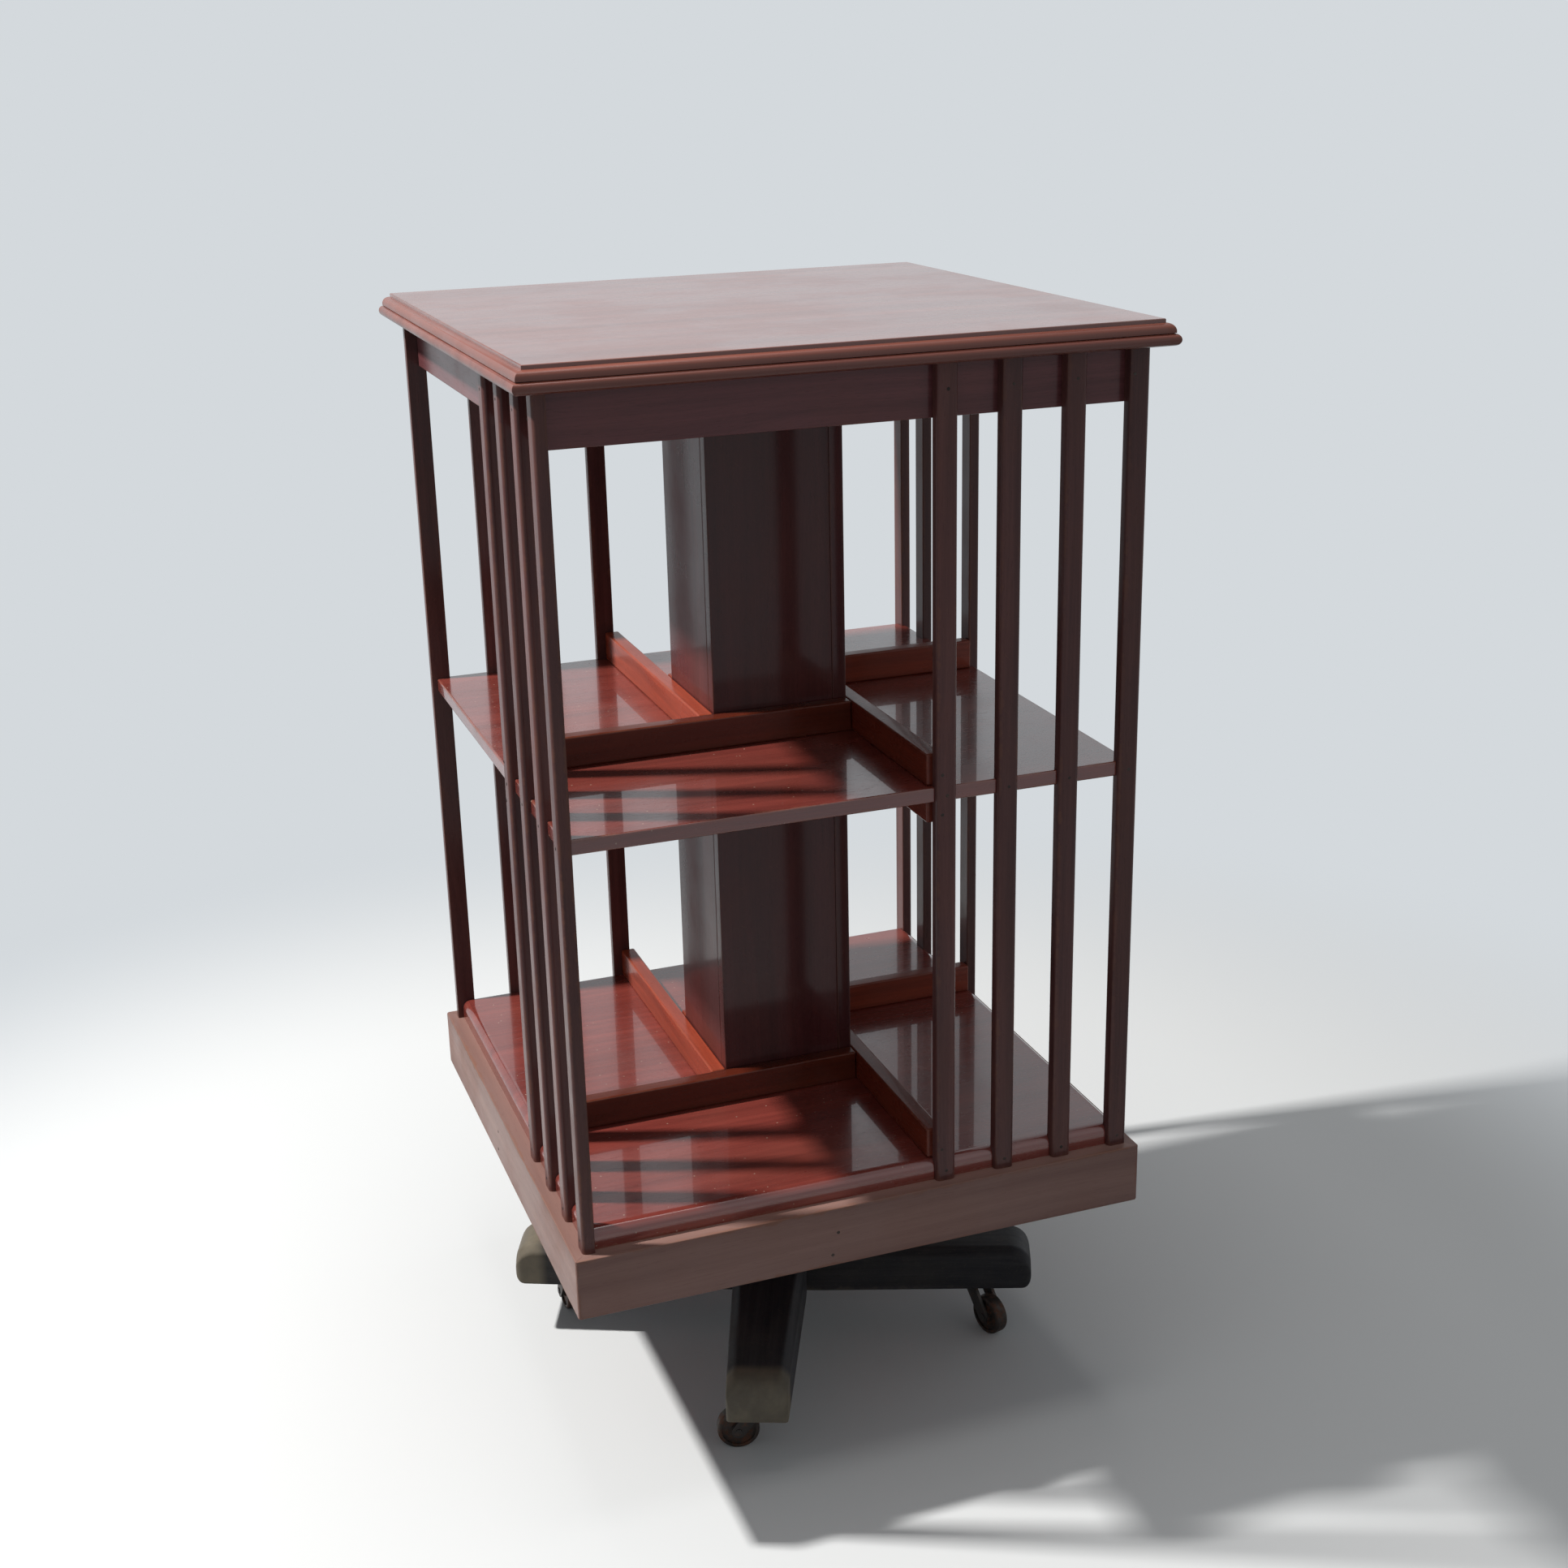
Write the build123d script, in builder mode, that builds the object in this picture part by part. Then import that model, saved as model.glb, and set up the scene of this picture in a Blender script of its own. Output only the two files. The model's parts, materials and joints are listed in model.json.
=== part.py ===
from build123d import *
import os
from math import cos, radians, sin

# Revolving bookcase: a square two-tier case that turns on a spindle over a cross foot with casters.
# Millimetres. The origin is on the floor under the spindle, +Z is up and the front face looks along -Y.
# The four faces are alike: what the front carries is repeated by quarter turns about Z.

# Top board and its moulded edge, from the top down: flat, step, ovolo, quirk and half-round bead
top_flat_side = 480.0
top_step = 3.0
ovolo_radius = 6.0
quirk_height = 1.5
quirk_depth = 1.5
bead_radius = 4.5

# Shelves
shelf_side = 456.0
mid_shelf_thickness = 12.0
mid_shelf_round = 1.5
bottom_board_thickness = 17.5
bottom_board_round = 8.0
lower_tier_height = 306.0
upper_tier_height = 321.0

# Slats on the right-hand part of each face, let into the edges of the shelves, from the corner inwards to
# where the innermost one laps the end of a book stop
slat_count = 4
slat_width = 16.5
slat_thickness = 10.0
slat_round = 3.5
slat_housing = 5.0
slat_stop_lap = 8.5

# Frieze under the top and plinth under the bottom board
frieze_height = 41.5
frieze_thickness = 12.0
frieze_round = 1.0
plinth_height = 51.0
plinth_thickness = 18.0
plinth_projection = 8.0
plinth_round = 1.5
plinth_block_width = 36.0
plinth_block_depth = 22.0
plinth_block_height = 40.0
plinth_block_offset = 43.0

# Hollow column, book stops on the shelves and bearers under the middle shelf
column_side = 115.0
column_thickness = 12.0
column_round = 1.5
stop_thickness = 13.0
stop_height = 25.5
stop_round = 2.0
bearer_thickness = 13.0
bearer_height = 18.0
bearer_round = 1.5

# Pins through the slats
pin_radius = 1.25
pin_length = 20.0
frieze_pin_drop = 20.0
stop_pin_rise = 11.0

# Spindle and bearing between the stand and the case
spindle_radius = 12.5
spindle_flange_radius = 24.0
spindle_flange_thickness = 4.0
spindle_top_above_bush = 10.0
bush_wall = 5.5
bush_height = 40.0
bush_rise = 200.0
plate_side = 92.0
bearing_plate_thickness = 4.0
pivot_plate_thickness = 4.0
plate_screw_spacing = 68.0
washer_radius = 30.0
washer_thickness = 3.0

# Stand: two half-lapped bars and the pedestal block
cross_turn = -23.0
bar_reach = 236.0
bar_root_width = 65.0
bar_end_width = 51.0
bar_height = 40.0
bar_chamfer = 7.0
bar_end_round = 20.0
bar_under_round = 9.0
pedestal_side = 96.0
pedestal_chamfer = 10.0
plinth_above_cross = 112.0

# Casters
caster_height = 50.0
caster_radius = 187.0
caster_trail = 20.0
caster_plate_side = 40.0
caster_plate_thickness = 3.0
caster_screw_spacing = 30.0
wheel_radius = 18.0
wheel_width = 12.0
wheel_round = 2.0
wheel_hub_radius = 6.0
wheel_rim_wall = 3.5
wheel_recess = 2.0
axle_radius = 3.0
axle_proud = 0.8
cheek_thickness = 3.0
cheek_boss_radius = 6.0
cheek_side_gap = 0.6
crown_radius = 13.0
crown_thickness = 4.0
stem_radius = 5.0
stem_depth = 24.0

# Screws, all alike
screw_head_radius = 4.0
screw_head_height = 2.5
screw_radius = 2.0
screw_length = 15.0

# Clearances
running_fit = 0.05
fixed_fit = 0.05
free_gap = 0.3
spindle_way = 2.0

# Where each arm of the cross points at rest, and where its caster trails, in degrees
arm_turns = {"right": 0, "back": 90, "left": 180, "front": 270}
trail_turns = {"right": -75, "back": 0, "left": 90, "front": 165}
face_turns = {"front": 0, "right": 90, "back": 180, "left": 270}

# Heights, worked out from the floor up
bar_bottom = caster_height
bar_top = bar_bottom + bar_height
plinth_bottom = bar_top + plinth_above_cross
ledge = plinth_bottom + plinth_height
bottom_board_top = ledge + bottom_board_thickness
mid_shelf_bottom = bottom_board_top + lower_tier_height
mid_shelf_top = mid_shelf_bottom + mid_shelf_thickness
soffit = mid_shelf_top + upper_tier_height
top_thickness = top_step + ovolo_radius + quirk_height + 2 * bead_radius
pivot_plate_bottom = ledge - pivot_plate_thickness
washer_bottom = pivot_plate_bottom - washer_thickness
pedestal_top = washer_bottom - bearing_plate_thickness
bush_bottom = bottom_board_top + bush_rise
spindle_top = bush_bottom + bush_height + spindle_top_above_bush

# Distances from the spindle's axis to flat faces
shelf_half = shelf_side / 2
slat_back = shelf_half - slat_housing
slat_front = slat_back + slat_thickness
plinth_face = slat_front + plinth_projection
column_half = column_side / 2
column_inside = column_half - column_thickness
top_flat_half = top_flat_side / 2
ovolo_foot = top_flat_half + ovolo_radius
bead_centre = ovolo_foot - quirk_depth
top_half = bead_centre + bead_radius
slat_inner_edge = column_half + stop_thickness - slat_stop_lap
corner_slat_place = slat_front - slat_width / 2
slat_pitch = (corner_slat_place - slat_inner_edge - slat_width / 2) / (slat_count - 1)
slat_places = [corner_slat_place - n * slat_pitch for n in range(slat_count)]

# Caster heights
axle_height = wheel_radius
plate_bottom = bar_bottom - caster_plate_thickness
crown_top = plate_bottom - free_gap
crown_bottom = crown_top - crown_thickness
cheek_inside = wheel_width / 2 + cheek_side_gap
cheek_outside = cheek_inside + cheek_thickness

os.makedirs("parts", exist_ok=True)


def save(piece, label):
    """Label a finished piece and write its STEP file."""
    piece.part.label = label
    export_step(piece.part, f"parts/{label}.step")


def direction(turn):
    """Level unit vector at a turn about Z, in degrees."""
    return Vector(cos(radians(turn)), sin(radians(turn)), 0)


def turned(turn, height=0):
    """Level plane at a height, with its own x axis turned about Z."""
    return Plane(origin=(0, 0, height), x_dir=direction(turn), z_dir=(0, 0, 1))


def across(frame, start=0):
    """Upright plane square to a level frame's x axis: its x is the frame's y, and its y is up."""
    origin = frame.from_local_coords(Vector(start, 0, 0))
    return Plane(origin=origin, x_dir=frame.y_dir, z_dir=frame.x_dir)


def along(frame, side=0):
    """Upright plane through a level frame's x axis: its x is the frame's x, and its y is up."""
    origin = frame.from_local_coords(Vector(0, side, 0))
    return Plane(origin=origin, x_dir=frame.x_dir, z_dir=-frame.y_dir)


def all_pins():
    """Place across a face and height of every pin of that face."""
    frieze_row = soffit - frieze_pin_drop
    shelf_row = mid_shelf_bottom + mid_shelf_thickness / 2
    board_row = ledge + bottom_board_thickness / 2
    pins = [(place, row) for place in slat_places for row in (shelf_row, board_row)]
    # The corner slat stands past the frieze's end, so its upper pin is where the two lap
    frieze_places = [(slat_places[0] - slat_width / 2 + slat_back) / 2] + slat_places[1:]
    pins += [(place, frieze_row) for place in frieze_places]
    # The innermost slat also holds the ends of the stops and the bearer
    stop_place = (slat_inner_edge + column_half + stop_thickness) / 2
    bearer_place = (slat_inner_edge + column_half + bearer_thickness) / 2
    pins.append((stop_place, mid_shelf_top + stop_pin_rise))
    pins.append((stop_place, bottom_board_top + stop_pin_rise))
    pins.append((bearer_place, mid_shelf_bottom - bearer_height / 2))
    return pins


def add_pins(turn, radius, mode):
    """Add or cut the pins of one face, from the slat fronts inwards."""
    with BuildSketch(along(turned(turn), -slat_front)) as heads:
        with Locations(*all_pins()):
            Circle(radius)
    extrude(heads.sketch, amount=-pin_length, mode=mode)


def cut_pin_holes():
    """Cut the holes of all the pins that reach the piece in hand."""
    for turn in face_turns.values():
        add_pins(turn, pin_radius + fixed_fit, Mode.SUBTRACT)


def add_screws(places, grow, mode):
    """Add or cut countersunk screws: each place is a plane at the head's face, with z along the screw."""
    with Locations(*places):
        Cone(
            screw_head_radius + grow,
            screw_radius + grow,
            screw_head_height,
            align=(Align.CENTER, Align.CENTER, Align.MIN),
            mode=mode,
        )
        Cylinder(
            screw_radius + grow,
            screw_length + grow,
            align=(Align.CENTER, Align.CENTER, Align.MIN),
            mode=mode,
        )


def square_of_planes(frame, spacing):
    """Four planes at the corners of a square about a frame's origin."""
    half = spacing / 2
    corners = [(half, half), (-half, half), (-half, -half), (half, -half)]
    return [
        Plane(frame.from_local_coords(Vector(x, y, 0)), frame.x_dir, frame.z_dir) for x, y in corners
    ]


def swivel_frame(arm):
    """Level plane on the floor under a caster's swivel axis, with x along its trail."""
    spot = direction(cross_turn + arm_turns[arm]) * caster_radius
    return Plane(origin=spot, x_dir=direction(trail_turns[arm]), z_dir=(0, 0, 1))


def plate_frame(arm):
    """Level plane at the underside of a caster's plate, square to its arm."""
    turn = cross_turn + arm_turns[arm]
    spot = direction(turn) * caster_radius
    return Plane((spot.X, spot.Y, plate_bottom), direction(turn), (0, 0, 1))


def caster_screw_places():
    """Planes of the screws in all four caster plates."""
    return [place for arm in arm_turns for place in square_of_planes(plate_frame(arm), caster_screw_spacing)]


pivot_screw_places = square_of_planes(turned(0, pivot_plate_bottom), plate_screw_spacing)
bearing_plate_face = Plane((0, 0, washer_bottom), direction(cross_turn), (0, 0, -1))
bearing_screw_places = square_of_planes(bearing_plate_face, plate_screw_spacing)


def top_section(turn):
    """Section of the top board: half of it, from the middle out to the moulded edge, then mirrored."""
    bead_top = 2 * bead_radius
    quirk_top = bead_top + quirk_height
    with BuildSketch(along(turned(turn, soffit))) as section:
        with BuildLine():
            Line((0, 0), (bead_centre, 0))
            CenterArc((bead_centre, bead_radius), bead_radius, -90, 180)
            Line((bead_centre, bead_top), (ovolo_foot, bead_top))
            Line((ovolo_foot, bead_top), (ovolo_foot, quirk_top))
            CenterArc((top_flat_half, quirk_top), ovolo_radius, 0, 90)
            Line((top_flat_half, quirk_top + ovolo_radius), (top_flat_half, top_thickness))
            Line((top_flat_half, top_thickness), (0, top_thickness))
            Line((0, top_thickness), (0, 0))
        make_face()
        mirror(about=Plane.YZ)
    return section.sketch


# Top board: the moulded section run both ways, which mitres the corners
with BuildPart() as top_board:
    extrude(top_section(face_turns["front"]), amount=top_half, both=True)
    extrude(top_section(face_turns["right"]), amount=top_half, both=True, mode=Mode.INTERSECT)
save(top_board, "top_board")


def mitred_board(turn, face, thickness, bottom, height, edge_round):
    """Board of a square frame: its section run along the face, mitred at both ends, with pin holes."""
    frame = turned(turn)
    with BuildPart() as board:
        with BuildSketch(across(frame, -face)):
            with Locations((thickness / 2 - face, bottom + height / 2)):
                Rectangle(thickness, height)
            fillet(vertices().group_by(Axis.X)[0], edge_round)
        extrude(amount=2 * face)
        with BuildSketch(turned(turn, bottom)):
            with BuildLine():
                Polyline((0, 0), (-face, -face), (face, -face), close=True)
            make_face()
        extrude(amount=height, mode=Mode.INTERSECT)
        cut_pin_holes()
    return board


# Frieze boards
for side, turn in face_turns.items():
    frieze_bottom = soffit - frieze_height
    frieze = mitred_board(turn, slat_back, frieze_thickness, frieze_bottom, frieze_height, frieze_round)
    save(frieze, f"frieze_{side}")

# Plinth boards
for side, turn in face_turns.items():
    plinth = mitred_board(turn, plinth_face, plinth_thickness, plinth_bottom, plinth_height, plinth_round)
    save(plinth, f"plinth_{side}")


def cut_housings(bottom, thickness):
    """Cut the slats' notches into the edges of a shelf."""
    for turn in face_turns.values():
        with BuildSketch(turned(turn, bottom)) as housings:
            with Locations(*[(place, -slat_back - slat_thickness / 2) for place in slat_places]):
                Rectangle(slat_width, slat_thickness)
        extrude(housings.sketch, amount=thickness, mode=Mode.SUBTRACT)


# Middle shelf, fitted round the column
with BuildPart() as mid_shelf:
    with BuildSketch(Plane.XY.offset(mid_shelf_bottom)):
        Rectangle(shelf_side, shelf_side)
    extrude(amount=mid_shelf_thickness)
    fillet(mid_shelf.edges().filter_by(Axis.Z, reverse=True), mid_shelf_round)
    with BuildSketch(Plane.XY.offset(mid_shelf_bottom)):
        Rectangle(column_side, column_side)
    extrude(amount=mid_shelf_thickness, mode=Mode.SUBTRACT)
    cut_housings(mid_shelf_bottom, mid_shelf_thickness)
    cut_pin_holes()
save(mid_shelf, "mid_shelf")

# Bottom board, with a rounded upper edge and a way for the spindle
with BuildPart() as bottom_board:
    with BuildSketch(Plane.XY.offset(ledge)):
        Rectangle(shelf_side, shelf_side)
    extrude(amount=bottom_board_thickness)
    fillet(bottom_board.edges().group_by(Axis.Z)[-1], bottom_board_round)
    with BuildSketch(Plane.XY.offset(ledge)):
        Circle(spindle_radius + spindle_way)
    extrude(amount=bottom_board_thickness, mode=Mode.SUBTRACT)
    cut_housings(ledge, bottom_board_thickness)
    cut_pin_holes()
    add_screws(pivot_screw_places, fixed_fit, Mode.SUBTRACT)
save(bottom_board, "bottom_board")

# Slats, numbered from the corner inwards
for side, turn in face_turns.items():
    for number, place in enumerate(slat_places, start=1):
        with BuildPart() as slat:
            with BuildSketch(turned(turn, ledge)):
                with Locations((place, -slat_back - slat_thickness / 2)):
                    Rectangle(slat_width, slat_thickness)
                fillet(vertices().group_by(Axis.Y)[0], slat_round)
            extrude(amount=soffit - ledge)
            cut_pin_holes()
        save(slat, f"slat_{side}_{number}")

# Pins, one group
with BuildPart() as slat_pins:
    for turn in face_turns.values():
        add_pins(turn, pin_radius, Mode.ADD)
save(slat_pins, "slat_pins")

# Column boards, each lapping the next round the square
for side, turn in face_turns.items():
    with BuildPart() as column:
        with BuildSketch(turned(turn, bottom_board_top)):
            with Locations((-column_thickness / 2, -column_half + column_thickness / 2)):
                Rectangle(column_side - column_thickness, column_thickness)
            fillet(vertices().group_by(Axis.Y)[0].sort_by(Axis.X)[0], column_round)
        extrude(amount=soffit - bottom_board_top)
    save(column, f"column_{side}")


def pinwheel(thickness, bottom, height, edge_round, rounded_edge):
    """Four battens round the column, each from a slat to a hair short of the next batten's side."""
    for turn in face_turns.values():
        with BuildSketch(across(turned(turn), -slat_back)) as section:
            with Locations((-column_half - thickness / 2, bottom + height / 2)):
                Rectangle(thickness, height)
            fillet(vertices().group_by(Axis.Y)[rounded_edge], edge_round)
        extrude(section.sketch, amount=slat_back + column_half - free_gap)
    cut_pin_holes()


# Book stops on each shelf, and bearers under the middle one
with BuildPart() as upper_book_stops:
    pinwheel(stop_thickness, mid_shelf_top, stop_height, stop_round, -1)
save(upper_book_stops, "upper_book_stops")

with BuildPart() as lower_book_stops:
    pinwheel(stop_thickness, bottom_board_top, stop_height, stop_round, -1)
save(lower_book_stops, "lower_book_stops")

with BuildPart() as shelf_bearers:
    pinwheel(bearer_thickness, mid_shelf_bottom - bearer_height, bearer_height, bearer_round, 0)
save(shelf_bearers, "shelf_bearers")

# Glue blocks behind the plinth boards, under the bottom board
with BuildPart() as plinth_blocks:
    for turn in face_turns.values():
        with BuildSketch(turned(turn, ledge - plinth_block_height)):
            with Locations((plinth_block_offset, -plinth_face + plinth_thickness + plinth_block_depth / 2)):
                Rectangle(plinth_block_width, plinth_block_depth)
        extrude(amount=plinth_block_height)
save(plinth_blocks, "plinth_blocks")

# Block inside the column and the bush that turns on the spindle
with BuildPart() as spindle_block:
    with BuildSketch(Plane.XY.offset(bush_bottom)):
        Rectangle(2 * column_inside, 2 * column_inside)
        Circle(spindle_radius + running_fit + bush_wall + fixed_fit, mode=Mode.SUBTRACT)
    extrude(amount=bush_height)
save(spindle_block, "spindle_block")

with BuildPart() as spindle_bush:
    with BuildSketch(Plane.XY.offset(bush_bottom)):
        Circle(spindle_radius + running_fit + bush_wall)
        Circle(spindle_radius + running_fit, mode=Mode.SUBTRACT)
    extrude(amount=bush_height)
save(spindle_bush, "spindle_bush")

# Pivot plate under the bottom board and its screws
with BuildPart() as pivot_plate:
    with BuildSketch(Plane.XY.offset(pivot_plate_bottom)):
        Rectangle(plate_side, plate_side)
        Circle(spindle_radius + running_fit, mode=Mode.SUBTRACT)
    extrude(amount=pivot_plate_thickness)
    add_screws(pivot_screw_places, fixed_fit, Mode.SUBTRACT)
save(pivot_plate, "pivot_plate")

with BuildPart() as pivot_plate_screws:
    add_screws(pivot_screw_places, 0, Mode.ADD)
save(pivot_plate_screws, "pivot_plate_screws")

# Thrust washer and bearing plate on the pedestal
with BuildPart() as thrust_washer:
    with BuildSketch(Plane.XY.offset(washer_bottom)):
        Circle(washer_radius)
        Circle(spindle_radius + free_gap, mode=Mode.SUBTRACT)
    extrude(amount=washer_thickness)
save(thrust_washer, "thrust_washer")

with BuildPart() as bearing_plate:
    with BuildSketch(turned(cross_turn, pedestal_top)):
        Rectangle(plate_side, plate_side)
        Circle(spindle_radius + fixed_fit, mode=Mode.SUBTRACT)
    extrude(amount=bearing_plate_thickness)
    add_screws(bearing_screw_places, fixed_fit, Mode.SUBTRACT)
save(bearing_plate, "bearing_plate")

# Pedestal block between the cross and the case
with BuildPart() as pedestal_block:
    with BuildSketch(turned(cross_turn, bar_top)):
        Rectangle(pedestal_side, pedestal_side)
        chamfer(vertices(), pedestal_chamfer)
        Circle(spindle_radius + fixed_fit, mode=Mode.SUBTRACT)
    extrude(amount=pedestal_top - bar_top)
    add_screws(bearing_screw_places, fixed_fit, Mode.SUBTRACT)
save(pedestal_block, "pedestal_block")

# Spindle, with a flange under the cross
with BuildPart() as spindle:
    with BuildSketch(Plane.XY.offset(bar_bottom)):
        Circle(spindle_radius)
    extrude(amount=spindle_top - bar_bottom)
    with BuildSketch(Plane.XY.offset(bar_bottom)):
        Circle(spindle_flange_radius)
    extrude(amount=-spindle_flange_thickness)
save(spindle, "spindle")


def arm_section(plane, width):
    """Section of an arm with its two upper edges chamfered."""
    half = width / 2
    with BuildSketch(plane) as section:
        with BuildLine():
            Polyline(
                (-half, bar_bottom),
                (half, bar_bottom),
                (half, bar_top - bar_chamfer),
                (half - bar_chamfer, bar_top),
                (bar_chamfer - half, bar_top),
                (-half, bar_top - bar_chamfer),
                close=True,
            )
        make_face()
    return section.sketch


def cross_bar(turn, lap_bottom):
    """One bar of the cross: a square middle, two tapered arms and rounded ends, cut for the lap joint."""
    frame = turned(turn)
    root = pedestal_side / 2
    lap_height = bar_height / 2
    with BuildPart() as bar:
        with BuildSketch(across(frame)):
            with Locations((0, bar_bottom + bar_height / 2)):
                Rectangle(bar_root_width, bar_height)
        extrude(amount=root, both=True)
        for end in (1, -1):
            root_section = arm_section(across(frame, end * root), bar_root_width)
            end_section = arm_section(across(frame, end * bar_reach), bar_end_width)
            loft([root_section, end_section], ruled=True)
        with BuildSketch(along(frame)):
            with Locations((0, bar_bottom + bar_height / 2)):
                Rectangle(2 * bar_reach, bar_height)
            fillet(vertices().group_by(Axis.Y)[-1], bar_end_round)
            fillet(vertices().group_by(Axis.Y)[0], bar_under_round)
        extrude(amount=bar_root_width, both=True, mode=Mode.INTERSECT)
        with BuildSketch(turned(turn, lap_bottom)):
            Rectangle(bar_root_width, bar_root_width)
        extrude(amount=lap_height, mode=Mode.SUBTRACT)
        with BuildSketch(turned(turn, bar_bottom)):
            Circle(spindle_radius + fixed_fit)
        extrude(amount=bar_height, mode=Mode.SUBTRACT)
        with BuildSketch(turned(turn, bar_bottom)):
            with Locations((caster_radius, 0), (-caster_radius, 0)):
                Circle(stem_radius + free_gap)
        extrude(amount=stem_depth + free_gap, mode=Mode.SUBTRACT)
        add_screws(caster_screw_places(), fixed_fit, Mode.SUBTRACT)
    return bar


# Cross bars: one is cut from above, the other from below
save(cross_bar(cross_turn + arm_turns["right"], bar_bottom + bar_height / 2), "cross_bar_lower")
save(cross_bar(cross_turn + arm_turns["back"], bar_bottom), "cross_bar_upper")

# Caster plates under the arm ends
with BuildPart() as caster_plates:
    for arm in arm_turns:
        with BuildSketch(plate_frame(arm)):
            Rectangle(caster_plate_side, caster_plate_side)
            Circle(stem_radius + running_fit, mode=Mode.SUBTRACT)
        extrude(amount=caster_plate_thickness)
    add_screws(caster_screw_places(), fixed_fit, Mode.SUBTRACT)
save(caster_plates, "caster_plates")

# Screws of the caster plates and the bearing plate, one group
with BuildPart() as stand_screws:
    add_screws(caster_screw_places() + bearing_screw_places, 0, Mode.ADD)
save(stand_screws, "stand_screws")

# Casters: horn, axle and wheel on each arm
for arm in arm_turns:
    floor = swivel_frame(arm)
    side_view = along(floor)

    with BuildPart() as horn:
        with BuildSketch(floor.offset(crown_bottom)):
            Circle(crown_radius)
        extrude(amount=crown_thickness)
        with BuildSketch(floor.offset(crown_top)):
            Circle(stem_radius)
        extrude(amount=plate_bottom - crown_top + caster_plate_thickness + stem_depth)
        for side in (1, -1):
            with BuildSketch(side_view.offset(side * cheek_inside)):
                with Locations((caster_trail, axle_height)):
                    Circle(cheek_boss_radius)
                with Locations((0, crown_bottom + crown_thickness / 2)):
                    Rectangle(crown_radius, crown_thickness)
                make_hull()
                with Locations((caster_trail, axle_height)):
                    Circle(axle_radius + fixed_fit, mode=Mode.SUBTRACT)
            extrude(amount=side * cheek_thickness)
    save(horn, f"caster_horn_{arm}")

    with BuildPart() as axle:
        with BuildSketch(side_view):
            with Locations((caster_trail, axle_height)):
                Circle(axle_radius)
        extrude(amount=cheek_outside + axle_proud, both=True)
    save(axle, f"caster_axle_{arm}")

    with BuildPart() as wheel:
        with BuildSketch(side_view):
            with Locations((caster_trail, axle_height)):
                Circle(wheel_radius)
        extrude(amount=wheel_width / 2, both=True)
        fillet(wheel.edges().filter_by(GeomType.CIRCLE), wheel_round)
        for side in (1, -1):
            with BuildSketch(side_view.offset(side * (wheel_width / 2 - wheel_recess))):
                with Locations((caster_trail, axle_height)):
                    Circle(wheel_radius - wheel_rim_wall)
                    Circle(wheel_hub_radius, mode=Mode.SUBTRACT)
            extrude(amount=side * wheel_recess, mode=Mode.SUBTRACT)
        with BuildSketch(side_view):
            with Locations((caster_trail, axle_height)):
                Circle(axle_radius + running_fit)
        extrude(amount=wheel_width, both=True, mode=Mode.SUBTRACT)
    save(wheel, f"caster_wheel_{arm}")
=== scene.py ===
import json
import math

import bmesh
import bpy
from mathutils import Matrix, Vector


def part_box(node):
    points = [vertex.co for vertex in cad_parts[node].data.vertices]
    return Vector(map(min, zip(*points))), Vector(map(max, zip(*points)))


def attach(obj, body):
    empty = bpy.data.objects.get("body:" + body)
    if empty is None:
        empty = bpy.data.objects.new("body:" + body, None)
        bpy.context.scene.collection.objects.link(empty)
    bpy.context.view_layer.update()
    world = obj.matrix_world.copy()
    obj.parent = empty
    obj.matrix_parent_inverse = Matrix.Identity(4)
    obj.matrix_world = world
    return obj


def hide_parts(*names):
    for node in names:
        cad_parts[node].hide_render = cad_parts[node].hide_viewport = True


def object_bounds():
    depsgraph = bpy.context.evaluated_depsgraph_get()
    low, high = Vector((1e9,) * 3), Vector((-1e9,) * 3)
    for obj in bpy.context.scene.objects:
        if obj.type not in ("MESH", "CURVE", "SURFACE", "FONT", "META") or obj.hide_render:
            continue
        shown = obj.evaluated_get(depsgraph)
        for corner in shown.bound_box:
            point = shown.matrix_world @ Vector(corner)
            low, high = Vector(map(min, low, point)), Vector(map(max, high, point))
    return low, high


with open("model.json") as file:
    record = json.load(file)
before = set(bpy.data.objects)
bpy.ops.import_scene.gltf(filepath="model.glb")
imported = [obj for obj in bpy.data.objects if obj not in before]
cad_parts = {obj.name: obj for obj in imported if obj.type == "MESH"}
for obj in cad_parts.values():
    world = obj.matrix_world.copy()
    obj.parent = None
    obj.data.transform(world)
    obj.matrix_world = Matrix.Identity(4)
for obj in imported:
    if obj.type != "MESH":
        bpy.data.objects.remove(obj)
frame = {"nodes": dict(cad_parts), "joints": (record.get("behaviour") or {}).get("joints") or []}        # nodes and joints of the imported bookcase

bl_info = {
    "name": "Revolving bookcase",
    "version": (1, 0, 0),
    "blender": (4, 5, 0),
    "location": "View3D > Sidebar > Bookcase",
    "description": "Boards, slats, fittings and finishes of a revolving bookcase, and its stage",
    "category": "Object",
}

# Box of the solids, before anything is dressed
cad_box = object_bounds()

# Turns about the upright axis, in degrees: the faces of the case, and the arms of the cross
FACE_TURNS = {"front": 0, "right": 90, "back": 180, "left": 270}
ARM_TURNS = {"right": 0, "back": 90, "left": 180, "front": 270}
QUARTER_TURNS = 4

# Corners of a square, in order round it
CORNERS = ((-1, -1), (1, -1), (1, 1), (-1, 1))

# Axes of a board on the front face: x along the grain, z out of the face
LEVEL_AXES = Matrix(((1, 0, 0, 0), (0, 0, -1, 0), (0, 1, 0, 0), (0, 0, 0, 1)))
UPRIGHT_AXES = Matrix(((0, -1, 0, 0), (0, 0, -1, 0), (1, 0, 0, 0), (0, 0, 0, 1)))

# Slats, numbered from the corner of a face inwards
SLAT_NUMBERS = (1, 2, 3, 4)
SLAT_NODES = [f"slat_{face}_{number}" for face in FACE_TURNS for number in SLAT_NUMBERS]

# Seeds of the random tones and turns
SLAT_SEED = 4
PIN_SEED = 7
SCREW_SEED = 11

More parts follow.
